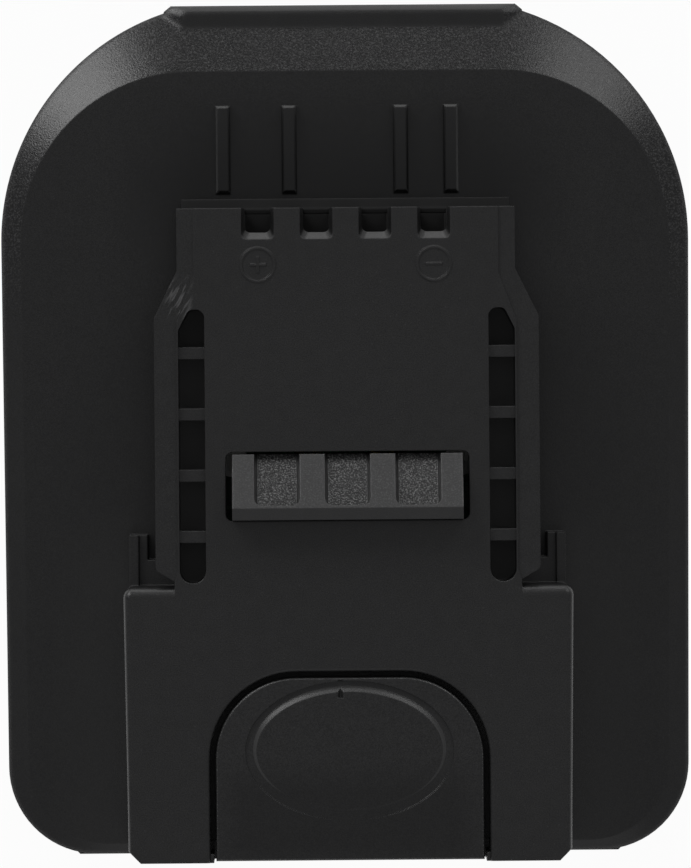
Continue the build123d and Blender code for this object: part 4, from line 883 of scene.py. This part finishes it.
def capacitor_material():
    """Sleeve and stripe by direction from the can's axis, and bare aluminium with a cross on its top."""
    material, tree, output = new_material("capacitor_can")
    low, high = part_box("board_capacitor")
    centre = ((low.x + high.x) / 2, (low.y + high.y) / 2, high.z)
    reach = (high.x - low.x) / 2
    where = object_point(tree)
    offset = vector_math(tree, "SUBTRACT", where, centre)
    parts = place(tree, "ShaderNodeSeparateXYZ", {0: offset}).outputs
    across = calc(tree, "ABSOLUTE", parts["X"])
    along = calc(tree, "ABSOLUTE", parts["Y"])
    squares = calc(tree, "ADD", calc(tree, "POWER", across, 2.0), calc(tree, "POWER", along, 2.0))
    radius = calc(tree, "SQRT", squares)
    facing_up = calc(tree, "GREATER_THAN", axis(tree, face_normal(tree), "Z"), 0.9)
    top = calc(tree, "MULTIPLY", facing_up, calc(tree, "LESS_THAN", radius, reach * TOP_SHARE))
    stripe = calc(tree, "LESS_THAN", parts["X"], -reach * STRIPE_SHARE)
    cross = calc(tree, "LESS_THAN", calc(tree, "MINIMUM", across, along), CROSS_HALF_W)
    cross = calc(tree, "MULTIPLY", cross, calc(tree, "LESS_THAN", radius, reach * CROSS_SHARE))
    speckle = noise(tree, where, 1200.0, 3.0)
    colour = mix_colour(tree, stripe, SLEEVE, STRIPE)
    colour = mix_colour(tree, top, colour, mix_colour(tree, speckle, *ALUMINIUM))
    height = add_scaled(tree, calc(tree, "MULTIPLY", speckle, 0.006 * MM), cross, -CROSS_DEPTH)
    rough = add_scaled(tree, 0.24, speckle, 0.16)
    surface(tree, output, Base_Color=colour, Metallic=top, Roughness=rough, Normal=bumped(tree, height))
    return material


dress(["board_capacitor"], capacitor_material())

# %% [markdown]
# ## Leads
# The insulation is soft extruded vinyl: satin, with faint blotches where it was handled. Power leads are
# red and black as everywhere, and the thin signal leads are yellow.

# %% Leads
def lead_material(name, colour, dark_colour):
    """Extruded vinyl in one colour, with wide faint blotches."""
    material, tree, output = new_material(name)
    marks = use_group(tree, MARKS, Spread=4 * MM, Dust_Size=0.8 * MM)
    grain = use_group(tree, GRAIN, Size=0.1 * MM, Patches=0.5)
    shade = add_scaled(tree, calc(tree, "MULTIPLY", grain["Patch"], 0.5), marks["Smudge"], 0.3, clamp=True)
    colours = mix_colour(tree, shade, colour, dark_colour)
    rough = add_scaled(tree, 0.36, marks["Smudge"], 0.12)
    normal = bumped(tree, calc(tree, "MULTIPLY", grain["Height"], 0.006 * MM))
    surface(tree, output, Base_Color=colours, Roughness=rough, Normal=normal)
    return material


lead_red = lead_material("lead_red", (0.5, 0.016, 0.012, 1), (0.33, 0.01, 0.008, 1))
lead_black = lead_material("lead_black", (0.014, 0.014, 0.015, 1), (0.03, 0.03, 0.03, 1))
lead_signal = lead_material("lead_signal", (0.52, 0.4, 0.05, 1), (0.38, 0.28, 0.03, 1))
dress(["power_lead_positive"], lead_red)
dress(["power_lead_negative"], lead_black)
dress(["battery_lead_data", "battery_lead_sense", "tool_lead_data", "tool_lead_sense"], lead_signal)

# %% [markdown]
# ## Latch springs
# The construction model has a plain sleeve where each spring goes. A real one is wire on a helix, with a
# closed turn at either end. The tube around the helix is a grid: one way along the wire, one way round it.
# Both springs stand on the retainer. A real one shortens as the latch goes down.

# %% Spring mesh
SPRING_TURNS = 7.5
CLOSED_TURNS = 1.0
CLOSED_RISE = 2.1
WIRE_SIDES = 12
STEPS_PER_TURN = 40
UP = np.array([0.0, 0.0, 1.0])


def spring_mesh(name, centre, low_z, high_z, mean_r, wire_r):
    """Point(u, v) = helix(u) + wire_r * (cos v * outward + sin v * upward). The helix rises one wire
    thickness a turn in the closed turns, and evenly between them."""
    turn = np.linspace(0, SPRING_TURNS, int(SPRING_TURNS * STEPS_PER_TURN) + 1)
    closed_rise = CLOSED_RISE * wire_r * CLOSED_TURNS
    low, high = low_z + wire_r, high_z - wire_r
    marks = [0, CLOSED_TURNS, SPRING_TURNS - CLOSED_TURNS, SPRING_TURNS]
    rise = np.interp(turn, marks, [low, low + closed_rise, high - closed_rise, high])
    angle = 2 * math.pi * turn
    outward = np.stack([np.cos(angle), np.sin(angle), np.zeros_like(angle)], axis=1)
    axle = np.stack([np.full_like(rise, centre[0]), np.full_like(rise, centre[1]), rise], axis=1)
    helix = axle + mean_r * outward
    v = np.linspace(0, 2 * math.pi, WIRE_SIDES, endpoint=False)
    ring = wire_r * np.cos(v)[None, :, None] * outward[:, None, :]
    ring = ring + wire_r * np.sin(v)[None, :, None] * UP
    points = (helix[:, None, :] + ring).reshape(-1, 3)
    rows = len(turn)
    grid = np.arange(rows * WIRE_SIDES).reshape(rows, WIRE_SIDES)
    beside = np.roll(grid, -1, axis=1)
    faces = np.stack([grid[:-1], grid[1:], beside[1:], beside[:-1]], axis=-1).reshape(-1, 4).tolist()
    faces += [grid[0].tolist(), grid[-1][::-1].tolist()]
    mesh = bpy.data.meshes.new(name)
    mesh.from_pydata(points.tolist(), [], faces)
    mesh.shade_smooth()
    mesh.update()
    return mesh


# %% [markdown]
# ### The two springs
# Each coil fills the space of its sleeve and takes its place. It rides on the case, which its lower end
# stands on, and keeps one length.

# %% Springs
WIRE_R = 0.3 * MM
SPRING_STEEL = ((0.62, 0.62, 0.61, 1), (0.45, 0.45, 0.44, 1))
spring_steel = metal_material("spring_steel", *SPRING_STEEL, 0.2, 2.0)
for side in ("left", "right"):
    sleeve = f"latch_spring_{side}"
    low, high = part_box(sleeve)
    middle = (low + high) / 2
    mean_r = (high.x - low.x) / 2 - WIRE_R
    coil = spring_mesh(f"coil_{side}", middle, low.z, high.z, mean_r, WIRE_R)
    spring = bpy.data.objects.new(f"coil_{side}", coil)
    spring.data.materials.append(spring_steel)
    scene.collection.objects.link(spring)
    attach(spring, "case")
    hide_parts(sleeve)
    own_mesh(spring)
